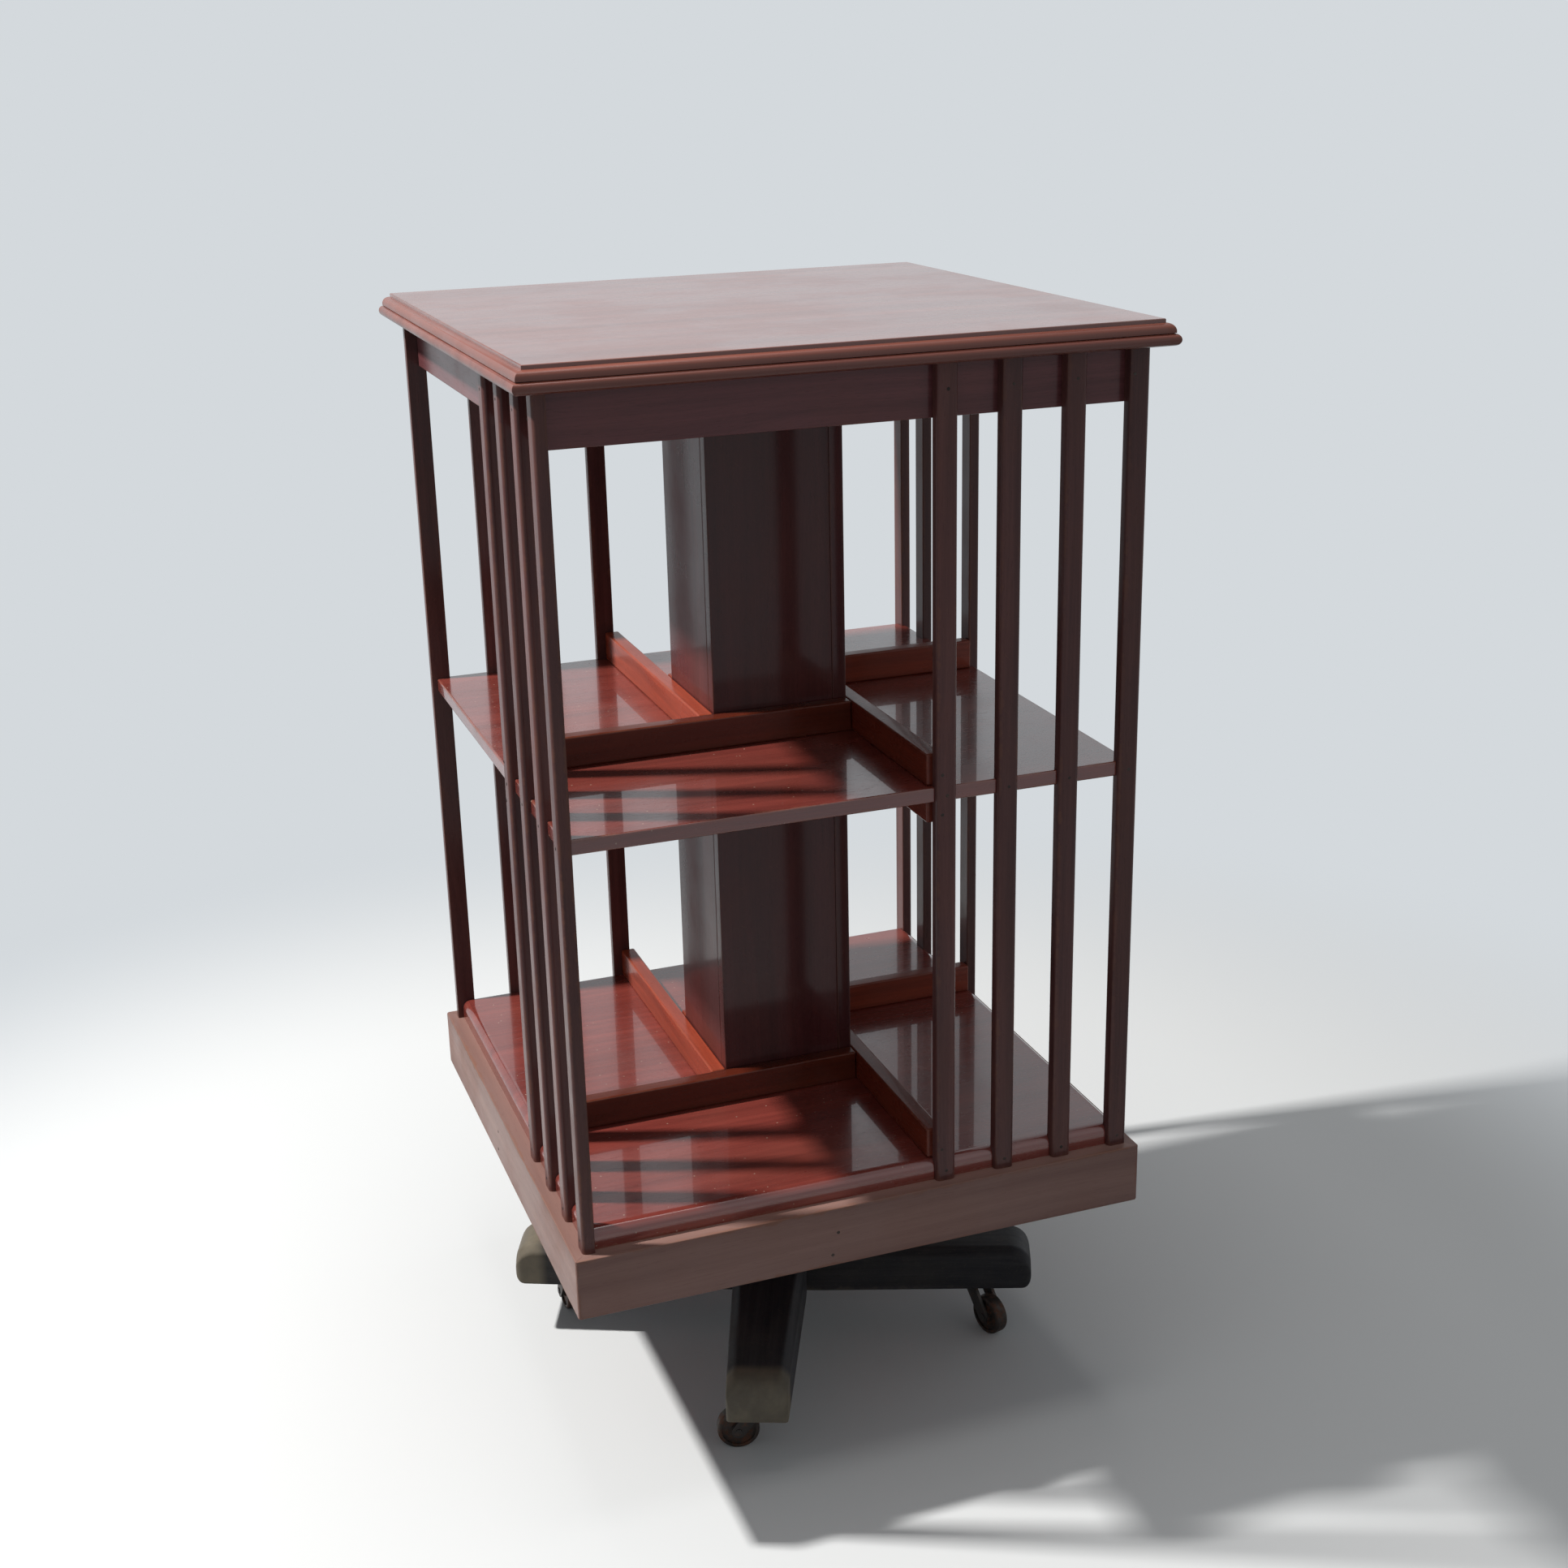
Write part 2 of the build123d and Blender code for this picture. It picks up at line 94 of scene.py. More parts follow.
# Edges that meet more sharply than this stay crisp
CRISP_ANGLE = math.radians(50)

# Straight steps in the rounds of the top, the shelves, the feet and the backdrop
BEAD_STEPS = 16
OVOLO_STEPS = 12
TOP_ARRIS_STEPS = 4
SHELF_STEPS = 3
BOARD_STEPS = 7
FOOT_STEPS = 10
SWEEP_STEPS = 16

# Most of an outline's side that the round at one of its ends may take
SIDE_SHARE = 0.45

# Slats: steps of a rounded edge, and how close two points are when they are made one
SLAT_STEPS = 5
WELD_REACH = 0.00001

# Pins: sides of head and shank, the shank's radius beside the head's, and how the sizes vary
PIN_SIDES = 12
PIN_RINGS = 6
PIN_SHANK_SIDES = 10
PIN_SHANK_SHARE = 0.85
PIN_SPREAD = (0.88, 1.08)

# Screws: sides of head and shank, and the driver slot's length in head radii and depth in heads
SCREW_SIDES = 20
SCREW_SHANK_SIDES = 12
SLOT_LENGTH = 2.2
SLOT_DEPTH = 0.35

# Turn of the cross in degrees and reach of its casters, from the joint of the right caster
JOINT_PLACES = {joint["name"]: Vector(joint["pos_m"]) for joint in frame["joints"]}
right_caster = JOINT_PLACES["caster_right_swivel"]
cross_turn = math.degrees(math.atan2(right_caster.y, right_caster.x))
caster_reach = right_caster.xy.length


def tint(red, green, blue):
    """Linear colour from the 0 to 255 values that a screen shows."""
    shares = [value / 255 for value in (red, green, blue)]
    return tuple(s / 12.92 if s <= 0.04045 else ((s + 0.055) / 1.055) ** 2.4 for s in shares)


def rgba(colour):
    """Colour with full cover, for a colour socket."""
    return (*colour, 1.0)


def length(name, description, default):
    """Property for a length in metres."""
    return bpy.props.FloatProperty(
        name=name, description=description, default=default, min=0.0, precision=5, unit="LENGTH"
    )


def place(name, description, default):
    """Property for a point in metres."""
    return bpy.props.FloatVectorProperty(
        name=name, description=description, default=default, size=3, precision=4, subtype="TRANSLATION"
    )


def angle(name, description, default):
    """Property for an angle, given in degrees."""
    return bpy.props.FloatProperty(
        name=name, description=description, default=math.radians(default), subtype="ANGLE"
    )


def power(name, description, default):
    """Property for a lamp's power in watts."""
    return bpy.props.FloatProperty(
        name=name, description=description, default=default, min=0.0, unit="POWER"
    )


def colour(name, description, default):
    """Property for a colour."""
    return bpy.props.FloatVectorProperty(
        name=name, description=description, default=default, size=3, min=0.0, max=1.0, subtype="COLOR"
    )


class BookcaseSizes(bpy.types.PropertyGroup):
    """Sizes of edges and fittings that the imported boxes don't give"""

    moulding_step: length("Moulding step", "Drop from the top's flat to its ovolo", 0.003)
    ovolo_radius: length("Ovolo radius", "Quarter round under the step of the top", 0.006)
    quirk_height: length("Quirk height", "Height of the groove over the bead", 0.0015)
    quirk_depth: length("Quirk depth", "How far the bead stands back of the ovolo's foot", 0.0015)
    bead_radius: length("Bead radius", "Half round along the lower edge of the top", 0.0045)
    arris: length("Arris", "Softening of sawn edges", 0.0009)
    shelf_round: length("Shelf round", "Round on the edges of the middle shelf", 0.0015)
    board_round: length("Board round", "Round on the upper edge of the bottom board", 0.008)
    slat_round: length("Slat round", "Round on the two front edges of a slat", 0.0035)
    slat_back_round: length("Slat back round", "Softening of the two back edges of a slat", 0.0006)
    corner_clip: length("Corner clip", "Worn flat on the corners of the frieze and plinth", 0.0016)
    mitre_gap: length("Mitre gap", "Open line at a mitred corner", 0.0001)
    housing_gap: length("Housing gap", "Open line round a slat where a shelf is cut for it", 0.00025)
    stop_thickness: length("Stop thickness", "Thickness of a book stop or bearer", 0.013)
    batten_gap: length("Batten gap", "Open line where a batten meets the next one", 0.0003)
    batten_round: length("Batten round", "Round on the edges of the stops and bearers", 0.0017)
    pin_radius: length("Pin radius", "Radius of a pin's head", 0.00135)
    pin_rise: length("Pin rise", "How far a pin's head stands proud", 0.00025)
    pin_length: length("Pin length", "Length of a pin", 0.02)
    frieze_pin_drop: length("Frieze pin drop", "From the top down to the pins of the frieze", 0.02)
    stop_pin_rise: length("Stop pin rise", "From a shelf up to the pin of its book stop", 0.011)
    plinth_nail_places: bpy.props.FloatVectorProperty(
        name="Plinth nails", description="Side step and height share of the two nails of a plinth board",
        default=(-0.027, 0.57, -0.032, 0.19), size=4, precision=4,
    )
    foot_root_width: length("Foot root width", "Width of a cross bar at its middle", 0.065)
    foot_end_width: length("Foot end width", "Width of a cross bar at its ends", 0.051)
    foot_chamfer: length("Foot chamfer", "Chamfer along the upper edges of a cross bar", 0.007)
    foot_end_round: length("Foot end round", "Round over the end of a cross bar", 0.02)
    foot_under_round: length("Foot under round", "Round under the end of a cross bar", 0.009)
    foot_side_round: length("Foot side round", "Round on the upright corners of a foot's end", 0.006)
    foot_arris: length("Foot arris", "Worn round along the edges of a cross bar", 0.0025)
    pedestal_side: length("Pedestal side", "Side of the block under the case", 0.096)
    pedestal_chamfer: length("Pedestal chamfer", "Chamfer on the block's upright edges", 0.01)
    screw_radius: length("Screw radius", "Radius of a countersunk head", 0.004)
    screw_shank: length("Screw shank", "Radius of a screw's shank", 0.002)
    screw_head: length("Screw head", "Depth of a countersunk head", 0.0025)
    screw_length: length("Screw length", "Length of a screw", 0.015)
    screw_slot: length("Screw slot", "Width of the driver slot", 0.001)
    caster_screw_spacing: length("Caster screw spacing", "Between the screws of a caster plate", 0.03)
    plate_screw_spacing: length("Plate screw spacing", "Between the screws of the bearing plates", 0.068)


class BookcaseColours(bpy.types.PropertyGroup):
    """Colours of the woods and metals"""

    top_dark: colour("Top, dark grain", "Dark streaks of the polished top", tint(106, 55, 46))
    top_light: colour("Top, light grain", "Ground of the polished top", tint(132, 73, 60))
    # Painted highlight: the lighter colour laid on the moulded edge of the top, thickly on its
    # upward-facing ovolo where light from above falls
    moulding: colour("Moulding", "Rubbed moulding round the top", tint(128, 74, 61))
    case_dark: colour("Frieze, dark grain", "Dark streaks of the frieze", tint(98, 55, 57))
    case_light: colour("Frieze, light grain", "Ground of the frieze", tint(130, 76, 77))
    column_dark: colour("Column, dark grain", "Dark streaks of the column", tint(72, 34, 35))
    column_light: colour("Column, light grain", "Ground of the column", tint(98, 50, 50))
    shelf_dark: colour("Shelf, dark grain", "Dark streaks of the shelves", tint(112, 47, 41))
    shelf_light: colour("Shelf, light grain", "Ground of the shelves", tint(148, 67, 57))
    stop_dark: colour("Stop, dark grain", "Dark streaks of the book stops", tint(118, 47, 31))
    stop_light: colour("Stop, light grain", "Ground of the book stops", tint(158, 67, 43))
    slat_dark: colour("Slat, dark grain", "Dark streaks of the slats", tint(78, 48, 47))
    slat_light: colour("Slat, light grain", "Ground of the slats", tint(112, 71, 67))
    plinth_dark: colour("Plinth, dark grain", "Dark streaks of the plinth", tint(130, 99, 91))
    plinth_light: colour("Plinth, light grain", "Ground of the plinth", tint(160, 125, 114))
    grit: colour("Grit", "Pale specks of dust on the shelves", tint(206, 182, 160))
    stand_dark: colour("Stand, dark grain", "Dark streaks of the cross and pedestal", tint(43, 43, 47))
    stand_light: colour("Stand, light grain", "Ground of the cross and pedestal", tint(69, 67, 69))
    worn: colour("Worn wood", "Bare wood along rubbed edges", tint(142, 96, 74))
    dusty: colour("Dusty wood", "Rubbed and dusty wood of the feet", tint(158, 145, 122))
    pine_dark: colour("Pine, dark grain", "Growth rings of the hidden blocks", tint(150, 106, 66))
    pine_light: colour("Pine, light grain", "Ground of the hidden blocks", tint(196, 158, 112))
    iron: colour("Iron", "Dark iron of the plates, horns and spindle", tint(74, 70, 68))
    roller: colour("Roller iron", "Iron of the caster wheels", tint(66, 58, 54))
    rust: colour("Rust", "Rust on the ironwork", tint(92, 58, 40))
    bronze: colour("Bronze", "Bush and thrust washer", tint(172, 128, 72))
    tarnish: colour("Tarnish", "Dull patches on the bronze", tint(96, 70, 44))
    steel: colour("Pin steel", "Heads of the pins and screws", tint(58, 48, 44))


class BookcaseStage(bpy.types.PropertyGroup):
    """Floor, lamps and camera"""

    floor: colour("Floor", "Paper under the bookcase", tint(236, 236, 234))
    bounce: colour("Floor bounce", "Floor as it lights the bookcase", tint(120, 124, 130))
    wall: colour("Wall", "Backdrop as the camera and mirrors see it", tint(212, 217, 221))
    sky: bpy.props.FloatProperty(
        name="Sky", description="Strength of the even light", default=0.22, min=0.0
    )
    sky_tint: colour("Sky tint", "Slightly cool tone of the even light", (0.88, 0.94, 1.0))
    key: power("Key lamp", "Soft lamp high on the left", 110.0)
    key_place: place("Key place", "Where the key lamp stands", (-1.8, 0.49, 2.9))
    key_side: length("Key side", "Side of the key lamp", 0.14)
    fill: power("Fill lamp", "Large soft lamp at the front right", 3.0)
    fill_place: place("Fill place", "Where the fill lamp stands", (1.6, -2.9, 1.9))
    fill_side: length("Fill side", "Side of the fill lamp", 2.2)
    over: power("Overhead lamp", "Soft lamp over the top", 14.0)
    over_place: place("Overhead place", "Where the overhead lamp hangs", (0.0, -0.2, 3.1))
    over_side: length("Overhead side", "Side of the overhead lamp", 1.2)
    aim: place("Lamp aim", "Point that the lamps face", (0.0, 0.0, 0.55))
    eye: place("Camera place", "Where the camera stands", (-0.5614, -1.6415, 1.13))
    azimuth: angle("Azimuth", "Turn of the view from the front", -19.56)
    elevation: angle("Elevation", "Height of the view over level", 19.17)
    roll: angle("Roll", "Tilt of the camera about its own axis", -1.37)
    lens: bpy.props.FloatProperty(name="Lens", description="Focal length in millimetres", default=49.47)
    shadow_reach: length("Shadow reach", "From the middle to where the floor's even tone begins", 0.7)
    floor_reach: length("Floor reach", "From the middle to the floor's front and side edges", 6.0)
    backdrop_place: length("Backdrop place", "From the middle back to the wall", 3.0)
    backdrop_round: length("Backdrop round", "Sweep between the floor and the wall", 0.8)
    backdrop_height: length("Backdrop height", "Height of the wall", 5.0)


def sizes():
    """Sizes kept with the scene."""
    return bpy.context.scene.bookcase_sizes


def colours():
    """Colours kept with the scene."""
    return bpy.context.scene.bookcase_colours


def turned(turn):
    """Turn about the upright axis, in degrees."""
    return Matrix.Rotation(math.radians(turn), 4, "Z")


class Sheet:
    """Short calls that add nodes to a tree and join them"""

    def __init__(self, tree):
        self.tree = tree

    def feed(self, socket, value):
        """Join a socket to another, or set its value."""
        if isinstance(value, bpy.types.NodeSocket):
            self.tree.links.new(value, socket)
        else:
            socket.default_value = value

    def fill(self, node, feeds):
        """Join or set several inputs of a node."""
        for socket, value in feeds.items():
            self.feed(node.inputs[socket], value)

    def add(self, kind, feeds=None, **settings):
        """New node with its settings, and with its inputs set or joined."""
        node = self.tree.nodes.new(kind)
        for name, value in settings.items():
            setattr(node, name, value)
        self.fill(node, feeds or {})
        return node

    def out(self, kind, feeds=None, **settings):
        """First output of a new node."""
        return self.add(kind, feeds, **settings).outputs[0]

    def math(self, operation, first, second=0.0, clamp=False):
        """Arithmetic on two numbers."""
        return self.out("ShaderNodeMath", {0: first, 1: second}, operation=operation, use_clamp=clamp)

    def plus(self, first, second, clamp=False):
        """Sum of two numbers."""
        return self.math("ADD", first, second, clamp)

    def minus(self, first, second, clamp=False):
        """First number less the second."""
        return self.math("SUBTRACT", first, second, clamp)

    def times(self, first, second, clamp=False):
        """Product of two numbers."""
        return self.math("MULTIPLY", first, second, clamp)

    def vector(self, operation, first, second=(0.0, 0.0, 0.0)):
        """Arithmetic on two vectors."""
        return self.out("ShaderNodeVectorMath", {0: first, 1: second}, operation=operation)

    def xyz(self, x=0.0, y=0.0, z=0.0):
        """Vector of three numbers."""
        return self.out("ShaderNodeCombineXYZ", {0: x, 1: y, 2: z})

    def parts(self, vector):
        """The three numbers of a vector."""
        return self.add("ShaderNodeSeparateXYZ", {0: vector}).outputs

    def span(self, value, low, high, to_low=0.0, to_high=1.0):
        """Smooth change from one value to another while the input goes from low to high."""
        feeds = {0: value, 1: low, 2: high, 3: to_low, 4: to_high}
        return self.out("ShaderNodeMapRange", feeds, interpolation_type="SMOOTHSTEP")

    def noise(self, point, scale, detail=2.0, roughness=0.5):
        """Soft random value at a point."""
        feeds = {"Vector": point, "Scale": scale, "Detail": detail, "Roughness": roughness}
        return self.out("ShaderNodeTexNoise", feeds)

    def stretched(self, point, along, across, detail=2.0, roughness=0.5):
        """Soft random value drawn out along x: the two numbers are spots per metre."""
        point = self.vector("MULTIPLY", point, (along, across, across))
        return self.noise(point, 1.0, detail, roughness)

    def mix(self, share, first, second):
        """Two colours mixed by a share."""
        feeds = {0: share, 6: first, 7: second}
        return self.add("ShaderNodeMix", feeds, data_type="RGBA", clamp_factor=True).outputs[2]

    def bump(self, height, strength, distance):
        """Normal that follows a height."""
        return self.out("ShaderNodeBump", {"Height": height, "Strength": strength, "Distance": distance})


def new_tree(name, kind, inputs, outputs):
    """Sheet of an empty node tree with named sockets, and the outputs that give its inputs."""
    tree = bpy.data.node_groups.new(name, kind)
    for in_out, sockets in (("INPUT", inputs), ("OUTPUT", outputs)):
        for socket, socket_type in sockets.items():
            tree.interface.new_socket(name=socket, in_out=in_out, socket_type=socket_type)
    sheet = Sheet(tree)
    return sheet, sheet.add("NodeGroupInput").outputs


# Kinds of socket
FLOAT = "NodeSocketFloat"
VECTOR = "NodeSocketVector"
GEOMETRY = "NodeSocketGeometry"
MATERIAL = "NodeSocketMaterial"
WHOLE = "NodeSocketInt"

# How far a board's tone shifts its grain, so that no two boards match, and how far the grain wanders
GRAIN_SHIFT = (3.1, 7.7, 5.3)
GRAIN_WANDER = (0.0, 0.022, 0.022)

# Noise value at which rust starts, and how soft its edge is
RUST_START = 0.78
RUST_EDGE = 0.16

# Grime on metal: how dark it is, and what it and rust add to the roughness
GRIME_SHADE = 0.55
GRIME_DULLING = 0.2
RUST_DULLING = 0.3

# How dark the fibres and pores are, and how much more the pores show than the fibres
FIBRE_SHADE = 0.7
PORE_SHADE = 0.45
PORES_OVER_FIBRES = 1.6

# How far haze and scratches cover the colour of polished wood
HAZE_COVER = 0.1
SCUFF_COVER = 0.12

# Roughness of clear and of hazy polish as shares of a wood's own, and what wear and pores add to it
CLEAR_SHARE = 0.85
HAZY_SHARE = 1.25
WEAR_DULLING = 0.25
PORE_DULLING = 0.1

# Depth of the fibres beside that of the pores
FIBRE_DEPTH = 0.25

# Moulded rim of the top: its polish loss, the width of its edge in metres, and the cover of its painted
# highlight below and above the middle, thin on the bead and thick on the upward-facing ovolo, and the
# patches of that painted highlight
MOULDING_DULLING = 0.65
MOULDING_EDGE = 0.001
MOULDING_HIGHLIGHT_COVER = (0.15, 0.9)
MOULDING_HIGHLIGHT_PATCHES = (0.7, 1.0)

# Dust on the end of a board: how thick, where it starts to thin out, and how patchy it is
END_DUST = 0.8
END_DUST_START = 0.6
END_DUST_PATCHES = (0.5, 1.0)

# Specks of dust: how close they lie, and the part of a cell that a speck fills
SPECKS_PER_METRE = 105.0
SPECK_CORE = 0.045
SPECK_EDGE = 0.085


def grain_group():
    """Mahogany grain: soft ribbons, fine fibres and open pores along a board's x axis."""
    inputs = {"Place": VECTOR, "Tone": FLOAT, "Ribbon": FLOAT}
    outputs = {"Streak": FLOAT, "Fibre": FLOAT, "Pores": FLOAT}
    sheet, given = new_tree("Wood grain", "ShaderNodeTree", inputs, outputs)
    shift = sheet.xyz(given["Tone"], given["Tone"], given["Tone"])
    point = sheet.vector("ADD", given["Place"], sheet.vector("MULTIPLY", shift, GRAIN_SHIFT))
    # The lines of the grain wander a little from side to side
    bend = sheet.minus(sheet.stretched(point, along=3.0, across=9.0, detail=1.0), 0.5)
    bend = sheet.vector("MULTIPLY", sheet.xyz(0.0, bend, bend), GRAIN_WANDER)
    point = sheet.vector("ADD", point, bend)
    ribbon = sheet.span(sheet.stretched(point, along=1.3, across=38.0), 0.3, 0.7)
    streak = sheet.stretched(point, along=4.0, across=150.0, detail=4.0, roughness=0.6)
    streak = sheet.span(streak, 0.28, 0.72)
    mixed = sheet.out("ShaderNodeMix", {0: given["Ribbon"], 2: streak, 3: ribbon})
    fibre = sheet.span(sheet.stretched(point, along=14.0, across=620.0), 0.35, 0.7)
    pores = sheet.span(sheet.stretched(point, along=95.0, across=1500.0, detail=1.0), 0.63, 0.72)
    sheet.add("NodeGroupOutput", {"Streak": mixed, "Fibre": fibre, "Pores": pores})
    return sheet.tree


def edge_wear_group():
    """Rubbed edges: a mask along the edges of a board, from its place and half size."""
    inputs = {"Place": VECTOR, "Half": VECTOR, "Tone": FLOAT, "Width": FLOAT}
    sheet, given = new_tree("Edge wear", "ShaderNodeTree", inputs, {"Wear": FLOAT})
    inside = sheet.vector("SUBTRACT", given["Half"], sheet.vector("ABSOLUTE", given["Place"]))
    x, y, z = sheet.parts(inside)
    # The middle one of the three depths is the distance to the nearest edge
    low = sheet.math("MINIMUM", x, y)
    high = sheet.math("MAXIMUM", x, y)
    distance = sheet.math("MAXIMUM", low, sheet.math("MINIMUM", high, z))
    point = sheet.vector("ADD", given["Place"], sheet.xyz(given["Tone"], given["Tone"]))
    rough = sheet.noise(point, scale=70.0, detail=4.0, roughness=0.65)
    patches = sheet.span(sheet.noise(point, scale=9.0), 0.35, 0.65, 0.25, 1.0)
    reach = sheet.times(given["Width"], sheet.span(rough, 0.3, 0.75, 0.15, 1.6))
    wear = sheet.span(sheet.math("DIVIDE", distance, reach), 0.35, 1.0, 1.0, 0.0)
    sheet.add("NodeGroupOutput", {"Wear": sheet.times(wear, patches, clamp=True)})
    return sheet.tree


def marks_group():
    """Handling: hazy patches of dulled polish, fine scratches in two directions, and dust."""
    inputs = {"Place": VECTOR, "Tone": FLOAT}
    outputs = {"Haze": FLOAT, "Scratches": FLOAT, "Dust": FLOAT}
    sheet, given = new_tree("Handling marks", "ShaderNodeTree", inputs, outputs)
    point = sheet.vector("ADD", given["Place"], sheet.xyz(given["Tone"], 0.0, given["Tone"]))
    haze = sheet.span(sheet.noise(point, scale=11.0, detail=5.0, roughness=0.6), 0.35, 0.72)
    dust = sheet.span(sheet.noise(point, scale=46.0, detail=6.0, roughness=0.7), 0.45, 0.8)
    scratches = 0.0
    for turn, seed in ((0.5, 0.0), (-0.9, 4.0)):
        mapping = {"Vector": point, "Location": (seed, seed, seed), "Rotation": (0.3, 0.2, turn)}
        across = sheet.out("ShaderNodeMapping", mapping)
        lines = sheet.span(sheet.stretched(across, along=7.0, across=900.0, detail=1.0), 0.71, 0.76)
        scratches = sheet.plus(lines, scratches, clamp=True)
    sheet.add("NodeGroupOutput", {"Haze": haze, "Scratches": scratches, "Dust": dust})
    return sheet.tree


def rust_group():
    """Old metal: rust blooms, grime and a cast skin."""
    outputs = {"Rust": FLOAT, "Grime": FLOAT, "Skin": FLOAT}
    sheet, given = new_tree("Old metal", "ShaderNodeTree", {"Place": VECTOR, "Spread": FLOAT}, outputs)
    bloom = sheet.noise(given["Place"], scale=120.0, detail=6.0, roughness=0.7)
    start = sheet.minus(RUST_START, given["Spread"])
    rust = sheet.span(bloom, start, sheet.plus(start, RUST_EDGE))
    grime = sheet.span(sheet.noise(given["Place"], scale=38.0, detail=4.0), 0.35, 0.7)
    skin = sheet.noise(given["Place"], scale=900.0, detail=3.0, roughness=0.6)
    sheet.add("NodeGroupOutput", {"Rust": rust, "Grime": grime, "Skin": skin})
    return sheet.tree


def new_material(name):
    """Empty material, its shader and the sheet of its nodes."""
    material = bpy.data.materials.new(name)
    material.use_nodes = True
    sheet = Sheet(material.node_tree)
    return material, material.node_tree.nodes["Principled BSDF"], sheet


def darker(tone, share):
    """Colour scaled down."""
    return tuple(value * share for value in tone)


def placed_group(sheet, name, maker, feeds):
    """Outputs of a node group in a material, with its own values: the group is made on its first use."""
    group = bpy.data.node_groups.get(name) or maker()
    return sheet.add("ShaderNodeGroup", feeds, node_tree=group).outputs


def wood(
    name, dark, light, rough, coat, coat_rough=0.08, ribbon=0.5, fibres=0.2, wear=0.3, wear_width=0.003,
    shine=0.5, spread=0.14, dust=0.0, dusty_end=0.0, grit=0.0, rim=None,
):
    """Polished wood that reads each board's own place, half size and tone."""
    material, shader, sheet = new_material(name)
    worn = colours().dusty if dust else colours().worn
    point = sheet.add("ShaderNodeAttribute", attribute_name="board_place").outputs["Vector"]
    half = sheet.add("ShaderNodeAttribute", attribute_name="board_half").outputs["Vector"]
    tone = sheet.add("ShaderNodeAttribute", attribute_name="board_tone").outputs["Fac"]
    feeds = {"Place": point, "Tone": tone}
    grain = placed_group(sheet, "Wood grain", grain_group, {**feeds, "Ribbon": ribbon})
    marks = placed_group(sheet, "Handling marks", marks_group, feeds)
    wear_feeds = {**feeds, "Half": half, "Width": wear_width}
    rubbed = placed_group(sheet, "Edge wear", edge_wear_group, wear_feeds)["Wear"]
    rubbed = sheet.times(rubbed, wear)

    base = sheet.mix(grain["Streak"], rgba(dark), rgba(light))
    lines = sheet.times(grain["Fibre"], fibres)
    base = sheet.mix(lines, base, rgba(darker(dark, FIBRE_SHADE)))
    pores = sheet.times(grain["Pores"], PORES_OVER_FIBRES * fibres)
    base = sheet.mix(pores, base, rgba(darker(dark, PORE_SHADE)))
    # No two boards are quite the same shade; where the tones are set face by face, as on the book stops,
    # these shades are painted light and shade
    shade = sheet.span(tone, 0.0, 1.0, 1.0 - spread, 1.0 + spread)
    base = sheet.out("ShaderNodeHueSaturation", {"Value": shade, "Color": base})
    base = sheet.mix(sheet.times(marks["Haze"], HAZE_COVER), base, rgba(worn))
    scuffs = sheet.times(marks["Scratches"], SCUFF_COVER)
    bare = sheet.math("MAXIMUM", rubbed, scuffs)
    base = sheet.mix(bare, base, rgba(worn))
    polish = sheet.minus(1.0, bare, clamp=True)
    if rim:
        # The moulded part stands outside the half size that the board is marked with; there the rim
        # colour is a painted highlight, thick on the upper half, the ovolo that faces the light from
        # above, thin on the bead below, and in patches, and the polish there is dulled
        outside = sheet.parts(sheet.vector("SUBTRACT", sheet.vector("ABSOLUTE", point), half))
        moulded = sheet.span(sheet.math("MAXIMUM", outside[0], outside[1]), 0.0, MOULDING_EDGE)
        height = sheet.parts(point)[2]
        cover = sheet.span(height, -MOULDING_EDGE, MOULDING_EDGE, *MOULDING_HIGHLIGHT_COVER)
        cover = sheet.times(moulded, cover)
        cover = sheet.times(cover, sheet.span(marks["Haze"], 0.0, 1.0, *MOULDING_HIGHLIGHT_PATCHES))
        base = sheet.mix(cover, base, rgba(rim))
        dulled = sheet.times(moulded, MOULDING_DULLING)
        polish = sheet.minus(polish, dulled, clamp=True)
    if grit:
        # Specks lie where a point of the cells is close to the surface
        cells = sheet.out("ShaderNodeTexVoronoi", {"Vector": point, "Scale": SPECKS_PER_METRE})
        specks = sheet.span(cells, SPECK_CORE, SPECK_EDGE, grit, 0.0)
        base = sheet.mix(specks, base, rgba(colours().grit))
        polish = sheet.minus(polish, specks, clamp=True)
    if dust:
        cover = sheet.times(marks["Dust"], dust)
        from_end = sheet.parts(sheet.vector("ADD", point, half))[0]
        end_dust = sheet.span(from_end, END_DUST_START * dusty_end, dusty_end, END_DUST, 0.0)
        end_dust = sheet.times(end_dust, sheet.span(marks["Haze"], 0.0, 1.0, *END_DUST_PATCHES))
        base = sheet.mix(sheet.math("MAXIMUM", cover, end_dust), base, rgba(worn))

    dull = sheet.span(marks["Haze"], 0.0, 1.0, rough * CLEAR_SHARE, rough * HAZY_SHARE)
    dull = sheet.plus(dull, sheet.times(rubbed, WEAR_DULLING))
    dull = sheet.plus(dull, sheet.times(grain["Pores"], PORE_DULLING), clamp=True)
    relief = sheet.times(grain["Pores"], -1.0)
    relief = sheet.plus(relief, sheet.times(grain["Fibre"], -FIBRE_DEPTH))
    relief = sheet.plus(relief, sheet.times(scuffs, -1.0))
    sheet.fill(shader, {
        "Base Color": base,
        "Roughness": dull,
        "Coat Weight": sheet.times(polish, coat),
        "Coat Roughness": coat_rough,
        "Specular IOR Level": shine,
        "Normal": sheet.bump(relief, strength=0.2, distance=0.0002),
    })
    return material


